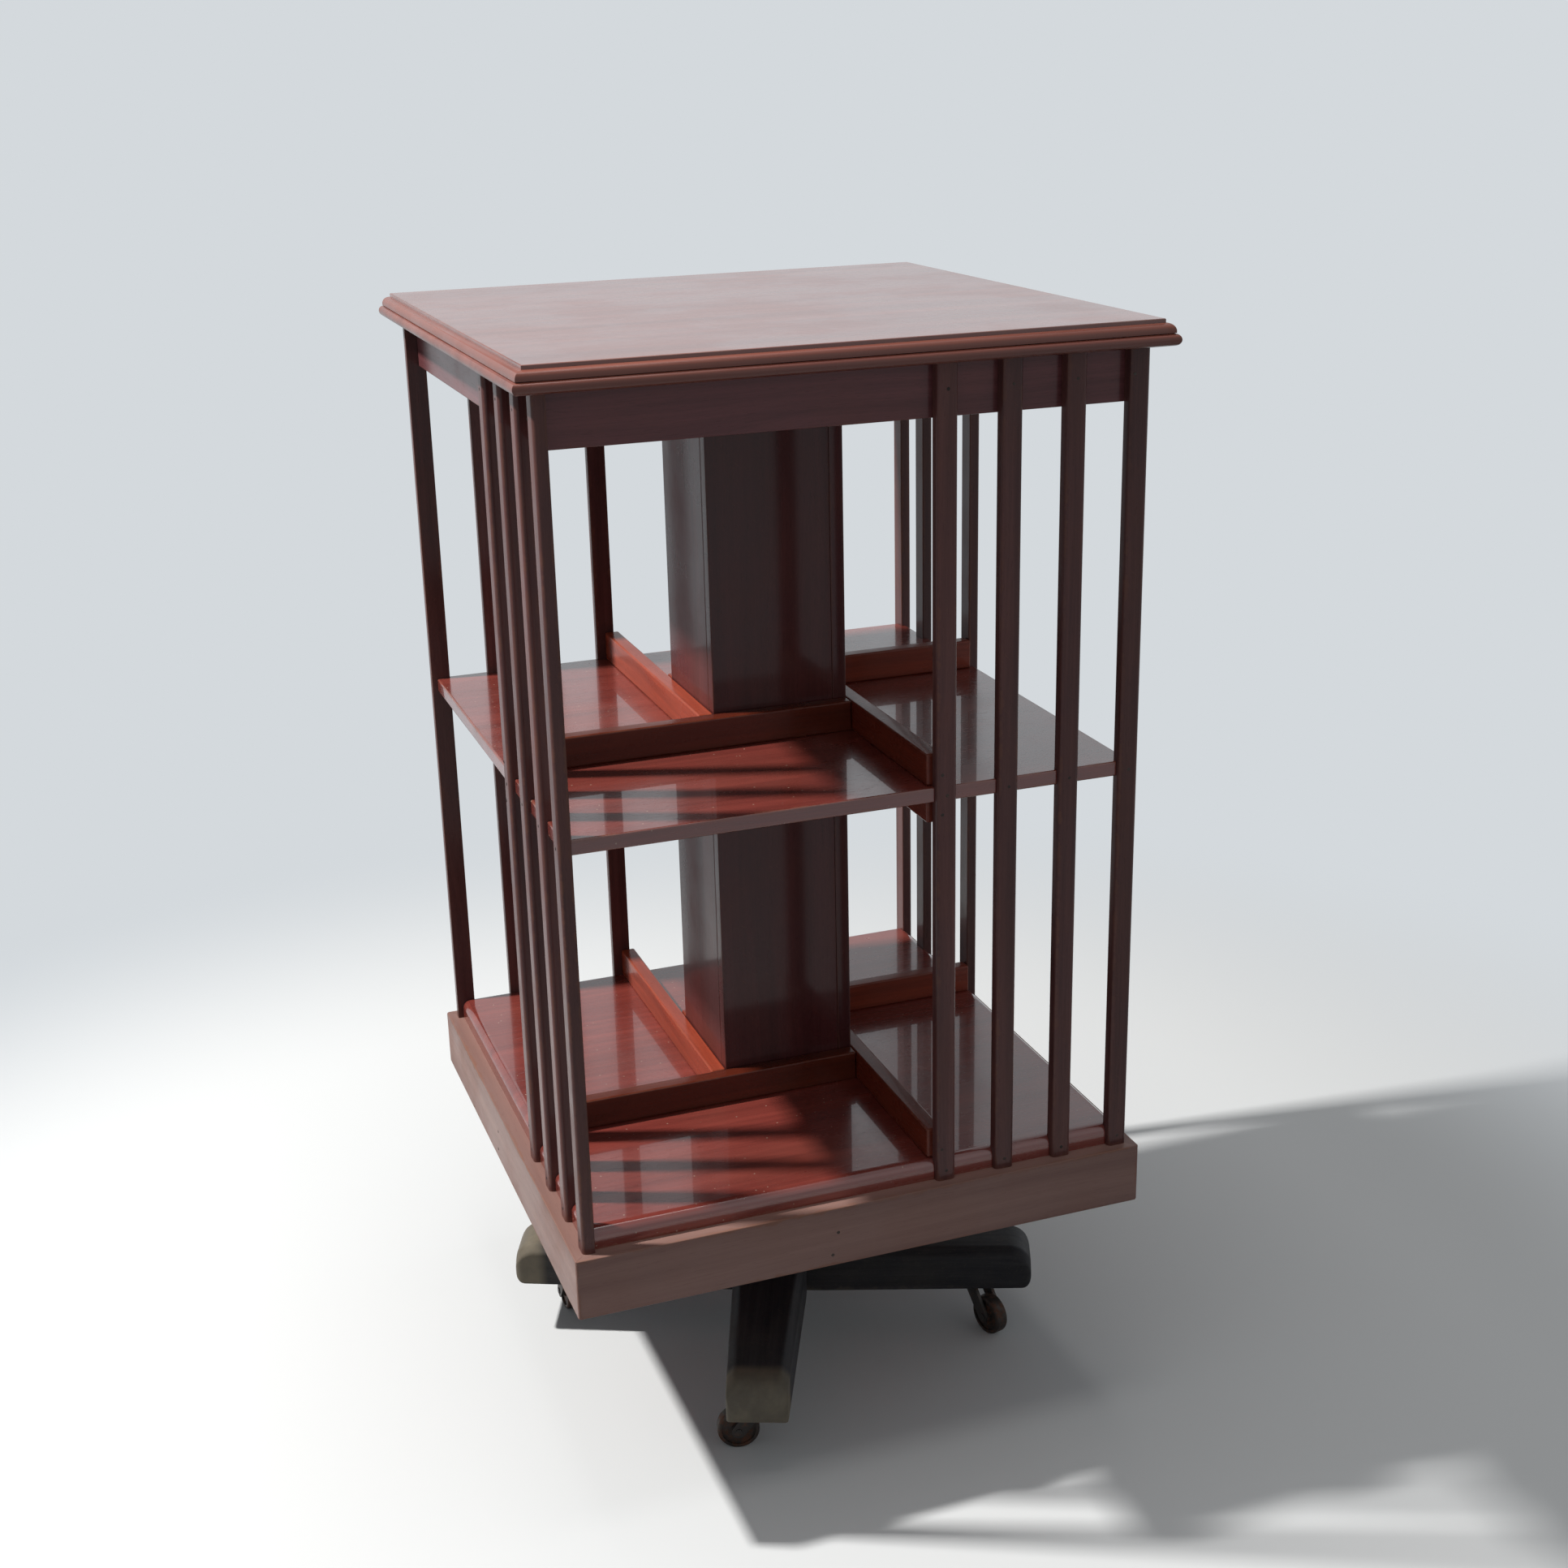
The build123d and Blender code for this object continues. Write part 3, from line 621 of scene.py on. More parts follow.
def metal(name, base, stain, rough, spread, shine=1.0):
    """Old metal with rust or tarnish, on Object coordinates."""
    material, shader, sheet = new_material(name)
    point = sheet.add("ShaderNodeTexCoord").outputs["Object"]
    old = placed_group(sheet, "Old metal", rust_group, {"Place": point, "Spread": spread})
    tone = sheet.mix(old["Grime"], rgba(base), rgba(darker(base, GRIME_SHADE)))
    dull = sheet.span(old["Grime"], 0.0, 1.0, rough, rough + GRIME_DULLING)
    bare = sheet.minus(1.0, old["Rust"])
    relief = sheet.plus(old["Skin"], old["Rust"])
    sheet.fill(shader, {
        "Base Color": sheet.mix(old["Rust"], tone, rgba(stain)),
        "Roughness": sheet.plus(dull, sheet.times(old["Rust"], RUST_DULLING), clamp=True),
        "Metallic": sheet.times(bare, shine),
        "Normal": sheet.bump(relief, strength=0.35, distance=0.0003),
    })
    return material


def pine(name):
    """Plain softwood of the hidden blocks, on Object coordinates."""
    material, shader, sheet = new_material(name)
    shades = colours()
    point = sheet.add("ShaderNodeTexCoord").outputs["Object"]
    feeds = {"Place": point, "Tone": 0.3, "Ribbon": 0.2}
    grain = placed_group(sheet, "Wood grain", grain_group, feeds)
    sheet.fill(shader, {
        "Base Color": sheet.mix(grain["Streak"], rgba(shades.pine_dark), rgba(shades.pine_light)),
        "Roughness": sheet.span(grain["Fibre"], 0.0, 1.0, 0.62, 0.78),
        "Normal": sheet.bump(grain["Fibre"], strength=0.3, distance=0.0003),
    })
    return material


def dress(node, material):
    """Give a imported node's object a better material."""
    mesh = frame["nodes"][node].data
    mesh.materials.clear()
    mesh.materials.append(material)


def plain_mesh(thing):
    """Turn an object with modifiers into a plain mesh."""
    depsgraph = bpy.context.evaluated_depsgraph_get()
    evaluated = thing.evaluated_get(depsgraph)
    mesh = bpy.data.meshes.new_from_object(evaluated, preserve_all_data_layers=True, depsgraph=depsgraph)
    thing.modifiers.clear()
    thing.data = mesh
    mesh.name = thing.name


def new_object(name, mesh):
    """Object in the scene that holds a mesh."""
    thing = bpy.data.objects.new(name, mesh)
    bpy.context.scene.collection.objects.link(thing)
    return thing


def shape_object(name, shape):
    """Object made from a shape that is then freed."""
    mesh = bpy.data.meshes.new(name)
    shape.to_mesh(mesh)
    shape.free()
    return new_object(name, mesh)


def finish_piece(thing, material, body, nodes):
    """Shade a piece, give it its material, and seat it on its body in place of its nodes."""
    mesh = thing.data
    mesh.shade_smooth()
    mesh.set_sharp_from_angle(angle=CRISP_ANGLE)
    flatten = thing.modifiers.new("Flat faces", "WEIGHTED_NORMAL")
    flatten.keep_sharp = True
    plain_mesh(thing)
    thing.data.materials.clear()
    thing.data.materials.append(material)
    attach(thing, body)
    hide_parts(*nodes)


def mark_boards(mesh, places, halves, tones):
    """Keep each point's place in its board, the board's half size and its tone with a mesh."""
    for name, vectors in (("board_place", places), ("board_half", halves)):
        layer = mesh.attributes.new(name, "FLOAT_VECTOR", "POINT")
        layer.data.foreach_set("vector", [number for vector in vectors for number in vector])
    mesh.attributes.new("board_tone", "FLOAT", "POINT").data.foreach_set("value", tones)


def mark_one_board(thing, axes, half, tone):
    """Mark the whole of an object as one board whose axes are given."""
    into = axes.inverted()
    places = [into @ vertex.co for vertex in thing.data.vertices]
    mark_boards(thing.data, places, [half] * len(places), [tone] * len(places))


class Boards:
    """Collects boards, each in its own axes, into one mesh"""

    def __init__(self):
        self.points = []
        self.faces = []
        self.places = []
        self.halves = []
        self.tones = []

    def add(self, shape, axes, half, tone):
        """Add a shape and free it: x of its axes runs along the grain."""
        start = len(self.points)
        shape.verts.index_update()
        for vertex in shape.verts:
            self.points.append(axes @ vertex.co)
            self.places.append(vertex.co.copy())
        self.faces += [[start + vertex.index for vertex in face.verts] for face in shape.faces]
        self.halves += [half] * len(shape.verts)
        self.tones += [tone] * len(shape.verts)
        shape.free()

    def thing(self, name):
        """Object with all the boards."""
        mesh = bpy.data.meshes.new(name)
        mesh.from_pydata(self.points, [], self.faces)
        mark_boards(mesh, self.places, self.halves, self.tones)
        return new_object(name, mesh)


def soften(shape, edges, reach, steps=2):
    """Round some edges of a shape."""
    bmesh.ops.bevel(
        shape, geom=edges, offset=reach, offset_type="OFFSET", segments=steps, profile=0.5,
        affect="EDGES",
    )


def join_rings(shape, rings):
    """Faces between each ring of points and the next."""
    for first, second in zip(rings, rings[1:]):
        for n in range(len(first)):
            after = (n + 1) % len(first)
            shape.faces.new((first[n], first[after], second[after], second[n]))


def block(size):
    """Plain box about the origin."""
    shape = bmesh.new()
    bmesh.ops.create_cube(shape, size=1.0)
    bmesh.ops.scale(shape, vec=size, verts=shape.verts)
    return shape


def plank(size, arris):
    """Board with all its edges softened."""
    shape = block(size)
    soften(shape, shape.edges[:], arris)
    return shape


def prism(outline, low, high):
    """Prism along y on an outline of (x, z) points."""
    shape = bmesh.new()
    rings = [[shape.verts.new((x, y, z)) for x, z in outline] for y in (low, high)]
    join_rings(shape, rings)
    shape.faces.new(rings[0])
    shape.faces.new(rings[1])
    bmesh.ops.recalc_face_normals(shape, faces=shape.faces)
    return shape


def mitred_plank(face, height, thickness):
    """Board of a square frame in its own axes: x along it, y up and z out of its face."""
    s = sizes()
    front = thickness / 2
    outer = face - s.mitre_gap
    inner = face - thickness - s.mitre_gap
    clip = s.corner_clip
    right_end = [(outer - clip, front), (outer - clip / 2, front - clip / 2), (inner, -front)]
    left_end = [(-x, z) for x, z in reversed(right_end)]
    shape = prism(right_end + left_end, -height / 2, height / 2)
    rim = []
    for edge in shape.edges:
        first, second = edge.verts
        level = abs(first.co.y - second.co.y) < s.mitre_gap
        if level and min(first.co.z, second.co.z) > front - clip:
            rim.append(edge)
    soften(shape, rim, s.arris)
    return shape


def square_loft(profile):
    """Closed square shape from (half side, height) pairs, lowest first."""
    shape = bmesh.new()
    rings = []
    for half, height in profile:
        rings.append([shape.verts.new((x * half, y * half, height)) for x, y in CORNERS])
    join_rings(shape, rings)
    shape.faces.new(reversed(rings[0]))
    shape.faces.new(rings[-1])
    return shape


def arc(centre, radius, start, end, steps):
    """Points of an arc, with its ends given in degrees."""
    turns = [math.radians(start + (end - start) * n / steps) for n in range(steps + 1)]
    return [(centre[0] + radius * math.cos(turn), centre[1] + radius * math.sin(turn)) for turn in turns]


def rounded(outline, reach, steps=3):
    """Outline with each corner replaced by a short curve."""
    curve = []
    count = len(outline)
    for n, corner in enumerate(outline):
        corner = Vector(corner)
        ends = []
        for other in (outline[n - 1], outline[(n + 1) % count]):
            way = Vector(other) - corner
            ends.append(corner + way.normalized() * min(reach, way.length * SIDE_SHARE))
        for step in range(steps + 1):
            share = step / steps
            first = ends[0].lerp(corner, share)
            second = corner.lerp(ends[1], share)
            curve.append(first.lerp(second, share))
    return curve


def box_middle(low, high):
    """Middle of a box."""
    return (low + high) / 2


class BOOKCASE_OT_top_board(bpy.types.Operator):
    """Make the moulded top board"""

    bl_idname = "bookcase.top_board"
    bl_label = "Top board"

    def execute(self, context):
        s = sizes()
        shades = colours()
        low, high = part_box("top_board")
        bead_line = high.x - s.bead_radius
        foot = bead_line + s.quirk_depth
        flat = foot - s.ovolo_radius
        bead_top = 2 * s.bead_radius
        quirk_top = bead_top + s.quirk_height
        thickness = high.z - low.z
        profile = arc((bead_line, s.bead_radius), s.bead_radius, -90, 90, BEAD_STEPS)
        profile += [(foot, bead_top + s.arris / 3), (foot, quirk_top)]
        profile += arc((flat, quirk_top), s.ovolo_radius, 0, 90, OVOLO_STEPS)[1:]
        profile += arc((flat - s.arris, thickness - s.arris), s.arris, 0, 90, TOP_ARRIS_STEPS)
        middle = thickness / 2
        shape = square_loft([(half, height - middle) for half, height in profile])
        boards = Boards()
        half = Vector((flat, flat, middle))
        boards.add(shape, Matrix.Translation(box_middle(low, high)), half, 0.5)
        # The rim colour paints a highlight on the moulded edge, mostly on its upward-facing ovolo
        material = wood(
            "Polished top", shades.top_dark, shades.top_light, rough=0.32, coat=1.0, coat_rough=0.2,
            ribbon=0.7, fibres=0.12, wear=0.15, wear_width=0.002, shine=0.2, rim=shades.moulding,
        )
        finish_piece(boards.thing("moulded_top"), material, "carcass", ["top_board"])
        return {"FINISHED"}


def face_boards(name, shape, middle, axes, half, tones):
    """Object with a copy of a shape on each face of the case."""
    boards = Boards()
    for turn, tone in zip(FACE_TURNS.values(), tones):
        boards.add(shape.copy(), turned(turn) @ Matrix.Translation(middle) @ axes, half, tone)
    shape.free()
    return boards.thing(name)


def face_nodes(prefix):
    """Names of the four nodes, one for each face, with a prefix."""
    return [f"{prefix}_{face}" for face in FACE_TURNS]


def mitred_frame(name, prefix, material, tones):
    """Four mitred boards round the case, in place of the nodes with a prefix."""
    low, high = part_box(f"{prefix}_front")
    size = high - low
    shape = mitred_plank(high.x, size.z, size.y)
    half = Vector((size.x, size.z, size.y)) / 2
    thing = face_boards(name, shape, box_middle(low, high), LEVEL_AXES, half, tones)
    finish_piece(thing, material, "carcass", face_nodes(prefix))


class BOOKCASE_OT_frieze(bpy.types.Operator):
    """Make the four frieze boards under the top"""

    bl_idname = "bookcase.frieze"
    bl_label = "Frieze"

    def execute(self, context):
        shades = colours()
        material = wood(
            "Frieze mahogany", shades.case_dark, shades.case_light, rough=0.34, coat=0.35,
            coat_rough=0.16, wear=0.25, wear_width=0.002, shine=0.1,
        )
        mitred_frame("frieze_boards", "frieze", material, (0.4, 0.7, 0.3, 0.6))
        return {"FINISHED"}


class BOOKCASE_OT_plinth(bpy.types.Operator):
    """Make the four plinth boards and dress the blocks behind them"""

    bl_idname = "bookcase.plinth"
    bl_label = "Plinth"

    def execute(self, context):
        shades = colours()
        material = wood(
            "Plinth mahogany", shades.plinth_dark, shades.plinth_light, rough=0.45, coat=0.08,
            coat_rough=0.3, ribbon=0.75, fibres=0.1, wear=0.55, wear_width=0.0035, shine=0.15,
        )
        mitred_frame("plinth_boards", "plinth", material, (0.45, 0.6, 0.35, 0.75))
        softwood = pine("Block pine")
        dress("plinth_blocks", softwood)
        dress("spindle_block", softwood)
        return {"FINISHED"}


class BOOKCASE_OT_column(bpy.types.Operator):
    """Make the four boards of the hollow column"""

    bl_idname = "bookcase.column"
    bl_label = "Column"

    def execute(self, context):
        s = sizes()
        shades = colours()
        low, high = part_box("column_front")
        size = high - low
        half = Vector((size.z, size.x, size.y)) / 2
        shape = plank(2 * half, s.arris)
        tones = (0.35, 0.65, 0.5, 0.8)
        thing = face_boards("column_boards", shape, box_middle(low, high), UPRIGHT_AXES, half, tones)
        material = wood(
            "Column mahogany", shades.column_dark, shades.column_light, rough=0.32, coat=0.4,
            coat_rough=0.1, ribbon=0.7, wear=0.2, wear_width=0.002, shine=0.1,
        )
        finish_piece(thing, material, "carcass", face_nodes("column"))
        return {"FINISHED"}


def cutters(name, boxes):
    """One object with a plain box for each pair of corners."""
    shape = bmesh.new()
    for low, high in boxes:
        spread = Matrix.Diagonal((*(high - low), 1.0))
        bmesh.ops.create_cube(shape, size=1.0, matrix=Matrix.Translation(box_middle(low, high)) @ spread)
    return shape_object(name, shape)


def carve(thing, cutter):
    """Cut one object out of another."""
    cut = thing.modifiers.new("Housings", "BOOLEAN")
    cut.operation = "DIFFERENCE"
    cut.solver = "EXACT"
    cut.object = cutter
    plain_mesh(thing)
    bpy.data.objects.remove(cutter)


def grown(box, gap):
    """Box with a gap added all round it."""
    low, high = box
    margin = Vector((gap, gap, gap))
    return low - margin, high + margin


class BOOKCASE_OT_shelves(bpy.types.Operator):
    """Make the middle shelf and the bottom board, cut for the slats and the column"""

    bl_idname = "bookcase.shelves"
    bl_label = "Shelves"

    def execute(self, context):
        s = sizes()
        shades = colours()
        material = wood(
            "Shelf mahogany", shades.shelf_dark, shades.shelf_light, rough=0.24, coat=0.75,
            coat_rough=0.03, ribbon=0.6, fibres=0.15, wear=0.4, wear_width=0.003, grit=0.6,
        )
        housings = [grown(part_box(node), s.housing_gap) for node in SLAT_NODES]
        column_low = Vector((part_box("column_front")[0].x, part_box("column_front")[0].y, cad_box[0].z))
        column_way = (column_low, Vector((-column_low.x, -column_low.y, cad_box[1].z)))
        spindle_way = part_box("spindle")
        for node, name, way, tone in (
            ("mid_shelf", "middle_shelf", column_way, 0.45),
            ("bottom_board", "base_board", spindle_way, 0.6),
        ):
            low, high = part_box(node)
            size = high - low
            shape = block(size)
            if node == "mid_shelf":
                soften(shape, shape.edges[:], s.shelf_round, SHELF_STEPS)
            else:
                rim = [edge for edge in shape.edges if min(v.co.z for v in edge.verts) > 0]
                soften(shape, rim, s.board_round, BOARD_STEPS)
            bmesh.ops.translate(shape, vec=box_middle(low, high), verts=shape.verts)
            thing = shape_object(name, shape)
            carve(thing, cutters("shelf_cutters", housings + [way]))
            mark_one_board(thing, Matrix.Translation(box_middle(low, high)), size / 2, tone)
            finish_piece(thing, material, "carcass", [node])
        return {"FINISHED"}


class BOOKCASE_OT_battens(bpy.types.Operator):
    """Make the book stops on the shelves and the bearers under the middle one"""

    bl_idname = "bookcase.battens"
    bl_label = "Book stops and bearers"

    def execute(self, context):
        s = sizes()
        shades = colours()
        # The wide spread of tones paints light and shade on the stops: with the tones of the faces
        # below, the front stops are painted dark as painted shade and the left ones painted light as if
        # lit from the left
        material = wood(
            "Stop mahogany", shades.stop_dark, shades.stop_light, rough=0.3, coat=0.15, coat_rough=0.1,
            ribbon=0.4, wear=0.3, wear_width=0.002, shine=0.15, spread=0.55,
        )
        column_half = -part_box("column_front")[0].y
        for node, name in (
            ("upper_book_stops", "upper_stops"),
            ("lower_book_stops", "lower_stops"),
            ("shelf_bearers", "bearers"),
        ):
            low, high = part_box(node)
            start = low.x
            end = column_half - s.batten_gap
            size = Vector((end - start, high.z - low.z, s.stop_thickness))
            front = -column_half - s.stop_thickness / 2
            middle = Vector(((start + end) / 2, front, (low.z + high.z) / 2))
            shape = plank(size, s.batten_round)
            # Tones of the front, right, back and left stops: painted shade in front, painted light on
            # the left
            thing = face_boards(name, shape, middle, LEVEL_AXES, size / 2, (0.0, 0.3, 0.55, 0.82))
            finish_piece(thing, material, "carcass", [node])
        return {"FINISHED"}


def around_axis(sheet, geometry, seed):
    """Instances of a geometry at the four quarter turns, each with a tone of its own."""
    points = sheet.out("GeometryNodeMeshLine", {"Count": QUARTER_TURNS, "Offset": (0.0, 0.0, 0.0)})
    index = sheet.out("GeometryNodeInputIndex")
    turn = sheet.xyz(z=sheet.times(index, math.tau / QUARTER_TURNS))
    feeds = {"Points": points, "Instance": geometry, "Rotation": turn}
    placed = sheet.out("GeometryNodeInstanceOnPoints", feeds)
    return toned(sheet, placed, "face_tone", seed)


def drawn(sheet, low, high, seed):
    """Random number between two others."""
    feeds = {2: low, 3: high, "Seed": seed}
    return sheet.add("FunctionNodeRandomValue", feeds, data_type="FLOAT").outputs[1]


def toned(sheet, instances, name, seed):
    """Keep a random number from 0 to 1 with each instance."""
    return kept(sheet, instances, name, drawn(sheet, 0.0, 1.0, seed), "FLOAT", "INSTANCE")


def kept(sheet, geometry, name, value, data_type, domain="POINT"):
    """Keep a value with a geometry under a name."""
    node = sheet.add("GeometryNodeStoreNamedAttribute", data_type=data_type, domain=domain)
    sheet.fill(node, {"Geometry": geometry, "Name": name, "Value": value})
    return node.outputs[0]


def joined(sheet, first, second):
    """Two geometries as one."""
    node = sheet.add("GeometryNodeJoinGeometry", {0: first})
    sheet.feed(node.inputs[0], second)
    return node.outputs[0]


def read_back(sheet, name):
    """Number that was kept with a geometry under a name."""
    return sheet.out("GeometryNodeInputNamedAttribute", {"Name": name}, data_type="FLOAT")


def real_mesh(sheet, instances, material):
    """Realized instances with their material, as the tree's result."""
    solid = sheet.out("GeometryNodeRealizeInstances", {0: instances})
    tone = sheet.plus(read_back(sheet, "row_tone"), read_back(sheet, "face_tone"))
    tone = sheet.math("FRACT", tone)
    solid = kept(sheet, solid, "board_tone", tone, "FLOAT")
    solid = sheet.out("GeometryNodeSetMaterial", {"Geometry": solid, "Material": material})
    sheet.add("NodeGroupOutput", {0: solid})


def slat_tree():
    """Rows of slats: a rounded section, raised, set in a row and turned round the case."""
    inputs = {
        "Count": WHOLE,
        "Pitch": FLOAT,
        "Width": FLOAT,
        "Thickness": FLOAT,
        "Length": FLOAT,
        "Front round": FLOAT,
        "Back round": FLOAT,
        "Corner slat": VECTOR,
        "Seed": WHOLE,
        "Material": MATERIAL,
    }
    sheet, given = new_tree("Slat rows", "GeometryNodeTree", inputs, {"Slats": GEOMETRY})
    section = sheet.out("GeometryNodeCurvePrimitiveQuadrilateral", {
        "Width": given["Width"],
        "Height": given["Thickness"],
    })
    x, y, z = sheet.parts(sheet.out("GeometryNodeInputPosition"))
    is_front = sheet.math("LESS_THAN", y, 0.0)
    more = sheet.minus(given["Front round"], given["Back round"])
    reach = sheet.plus(sheet.times(is_front, more), given["Back round"])
    fillet = {"Curve": section, "Count": SLAT_STEPS, "Radius": reach}
    section = sheet.out("GeometryNodeFilletCurve", fillet, mode="POLY")
    face = sheet.out("GeometryNodeFillCurve", {"Curve": section}, mode="NGONS")
    raised = sheet.out("GeometryNodeExtrudeMesh", {
        "Mesh": face,
        "Offset": (0.0, 0.0, 1.0),
        "Offset Scale": given["Length"],
        "Individual": False,
    }, mode="FACES")
    foot = sheet.out("GeometryNodeFlipFaces", {"Mesh": face})
    closed = joined(sheet, raised, foot)
    slat = sheet.out("GeometryNodeMergeByDistance", {0: closed, "Distance": WELD_REACH})
    # Each slat's own axes: x up along the grain, z out of the face
    up = sheet.minus(z, sheet.times(given["Length"], 0.5))
    own = sheet.xyz(up, sheet.times(x, -1.0), sheet.times(y, -1.0))
    half = sheet.xyz(given["Length"], given["Width"], given["Thickness"])
    half = sheet.vector("MULTIPLY", half, (0.5, 0.5, 0.5))
    slat = kept(sheet, slat, "board_place", own, "FLOAT_VECTOR")
    slat = kept(sheet, slat, "board_half", half, "FLOAT_VECTOR")
    row = sheet.out("GeometryNodeMeshLine", {
        "Count": given["Count"],
        "Start Location": given["Corner slat"],
        "Offset": sheet.xyz(sheet.times(given["Pitch"], -1.0)),
    })
    slats = sheet.out("GeometryNodeInstanceOnPoints", {"Points": row, "Instance": slat})
    slats = toned(sheet, slats, "row_tone", given["Seed"])
    rows = around_axis(sheet, slats, sheet.plus(given["Seed"], 1.0))
    real_mesh(sheet, rows, given["Material"])
    return sheet.tree


def pin_tree():
    """Pins at the points of one face: a low domed head on a shank, repeated round the case."""
    inputs = {
        "Points": GEOMETRY,
        "Head radius": FLOAT,
        "Head rise": FLOAT,
        "Length": FLOAT,
        "Seed": WHOLE,
        "Material": MATERIAL,
    }
    sheet, given = new_tree("Slat pins", "GeometryNodeTree", inputs, {"Pins": GEOMETRY})
    radius = given["Head radius"]
    dome = {"Segments": PIN_SIDES, "Rings": PIN_RINGS, "Radius": radius}
    dome = sheet.out("GeometryNodeMeshUVSphere", dome)
    squash = sheet.xyz(1.0, sheet.math("DIVIDE", given["Head rise"], radius), 1.0)
    head = sheet.out("GeometryNodeTransform", {"Geometry": dome, "Scale": squash})
    shank = sheet.out("GeometryNodeMeshCylinder", {
        "Vertices": PIN_SHANK_SIDES,
        "Radius": sheet.times(radius, PIN_SHANK_SHARE),
        "Depth": given["Length"],
    })
    shank = sheet.out("GeometryNodeTransform", {
        "Geometry": shank,
        "Translation": sheet.xyz(y=sheet.times(given["Length"], 0.5)),
        "Rotation": (math.pi / 2, 0.0, 0.0),
    })
    pins = sheet.out("GeometryNodeInstanceOnPoints", {
        "Points": given["Points"],
        "Instance": joined(sheet, head, shank),
        "Scale": drawn(sheet, *PIN_SPREAD, given["Seed"]),
    })
    pins = toned(sheet, pins, "row_tone", given["Seed"])
    rows = around_axis(sheet, pins, sheet.plus(given["Seed"], 1.0))
    real_mesh(sheet, rows, given["Material"])
    return sheet.tree


def screw_tree():
    """Countersunk screws with a driver slot at each point, head down or, where marked, head up."""
    inputs = {
        "Points": GEOMETRY,
        "Head radius": FLOAT,
        "Shank radius": FLOAT,
        "Head depth": FLOAT,
        "Length": FLOAT,
        "Slot": FLOAT,
        "Seed": WHOLE,
        "Material": MATERIAL,
    }
    sheet, given = new_tree("Plate screws", "GeometryNodeTree", inputs, {"Screws": GEOMETRY})
    depth = given["Head depth"]
    head = sheet.out("GeometryNodeMeshCone", {
        "Vertices": SCREW_SIDES,
        "Radius Top": given["Shank radius"],
        "Radius Bottom": given["Head radius"],
        "Depth": depth,
    })
    across = sheet.times(given["Head radius"], SLOT_LENGTH)
    slot = sheet.out("GeometryNodeMeshCube", {"Size": sheet.xyz(across, given["Slot"], depth)})
    sunk = sheet.xyz(z=sheet.times(depth, SLOT_DEPTH - 0.5))
    slot = sheet.out("GeometryNodeTransform", {"Geometry": slot, "Translation": sunk})
    cut = {"Mesh 1": head, "Mesh 2": slot}
    head = sheet.out("GeometryNodeMeshBoolean", cut, operation="DIFFERENCE")
    shank_length = sheet.minus(given["Length"], depth)
    shank = sheet.out("GeometryNodeMeshCylinder", {
        "Vertices": SCREW_SHANK_SIDES,
        "Radius": given["Shank radius"],
        "Depth": shank_length,
    })
    middle = sheet.xyz(z=sheet.plus(sheet.times(shank_length, 0.5), depth))
    shank = sheet.out("GeometryNodeTransform", {"Geometry": shank, "Translation": middle})
    over = sheet.times(read_back(sheet, "head_up"), math.pi)
    screws = sheet.out("GeometryNodeInstanceOnPoints", {
        "Points": given["Points"],
        "Instance": joined(sheet, head, shank),
        "Rotation": sheet.xyz(over, 0.0, drawn(sheet, 0.0, math.pi, given["Seed"])),
    })
    screws = toned(sheet, screws, "row_tone", given["Seed"])
    real_mesh(sheet, screws, given["Material"])
    return sheet.tree


def nodes_piece(name, tree, values, base=None):
    """Object whose mesh a node tree has made: its inputs are set before it is first evaluated."""
    thing = new_object(name, base or bpy.data.meshes.new(name))
    modifier = thing.modifiers.new("Made by nodes", "NODES")
    modifier.node_group = tree
    for socket in tree.interface.items_tree:
        if socket.item_type == "SOCKET" and socket.in_out == "INPUT" and socket.name in values:
            modifier[socket.identifier] = values[socket.name]
    plain_mesh(thing)
    shape = bmesh.new()
    shape.from_mesh(thing.data)
    bmesh.ops.recalc_face_normals(shape, faces=shape.faces)
    shape.to_mesh(thing.data)
    shape.free()
    return thing


def points_mesh(name, points, head_up=None):
    """Mesh of loose points, some of them marked."""
    mesh = bpy.data.meshes.new(name)
    mesh.from_pydata(points, [], [])
    if head_up:
        mesh.attributes.new("head_up", "FLOAT", "POINT").data.foreach_set("value", head_up)
    return mesh


def plate_corners(spacing, axes):
    """Places of the four screws of a plate, in the plate's axes."""
    half = spacing / 2
    return [axes @ Vector((x * half, y * half, 0.0)) for x, y in CORNERS]


class BOOKCASE_OT_slats(bpy.types.Operator):
    """Make the four rows of slats"""

    bl_idname = "bookcase.slats"
    bl_label = "Slats"

    def execute(self, context):
        s = sizes()
        shades = colours()
        material = wood(
            "Slat mahogany", shades.slat_dark, shades.slat_light, rough=0.36, coat=0.2, coat_rough=0.12,
            ribbon=0.5, wear=0.3, wear_width=0.003, shine=0.12, spread=0.22,
        )
        low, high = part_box(f"slat_front_{SLAT_NUMBERS[0]}")
        last_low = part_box(f"slat_front_{SLAT_NUMBERS[-1]}")[0]
        size = high - low
        gaps = len(SLAT_NUMBERS) - 1
        values = {
            "Count": len(SLAT_NUMBERS),
            "Pitch": (low.x - last_low.x) / gaps,
            "Width": size.x,
            "Thickness": size.y,
            "Length": size.z,
            "Front round": s.slat_round,
            "Back round": s.slat_back_round,
            "Corner slat": ((low.x + high.x) / 2, (low.y + high.y) / 2, low.z),
            "Seed": SLAT_SEED,
            "Material": material,
        }
        thing = nodes_piece("slat_rows", slat_tree(), values)
        finish_piece(thing, material, "carcass", SLAT_NODES)
        return {"FINISHED"}


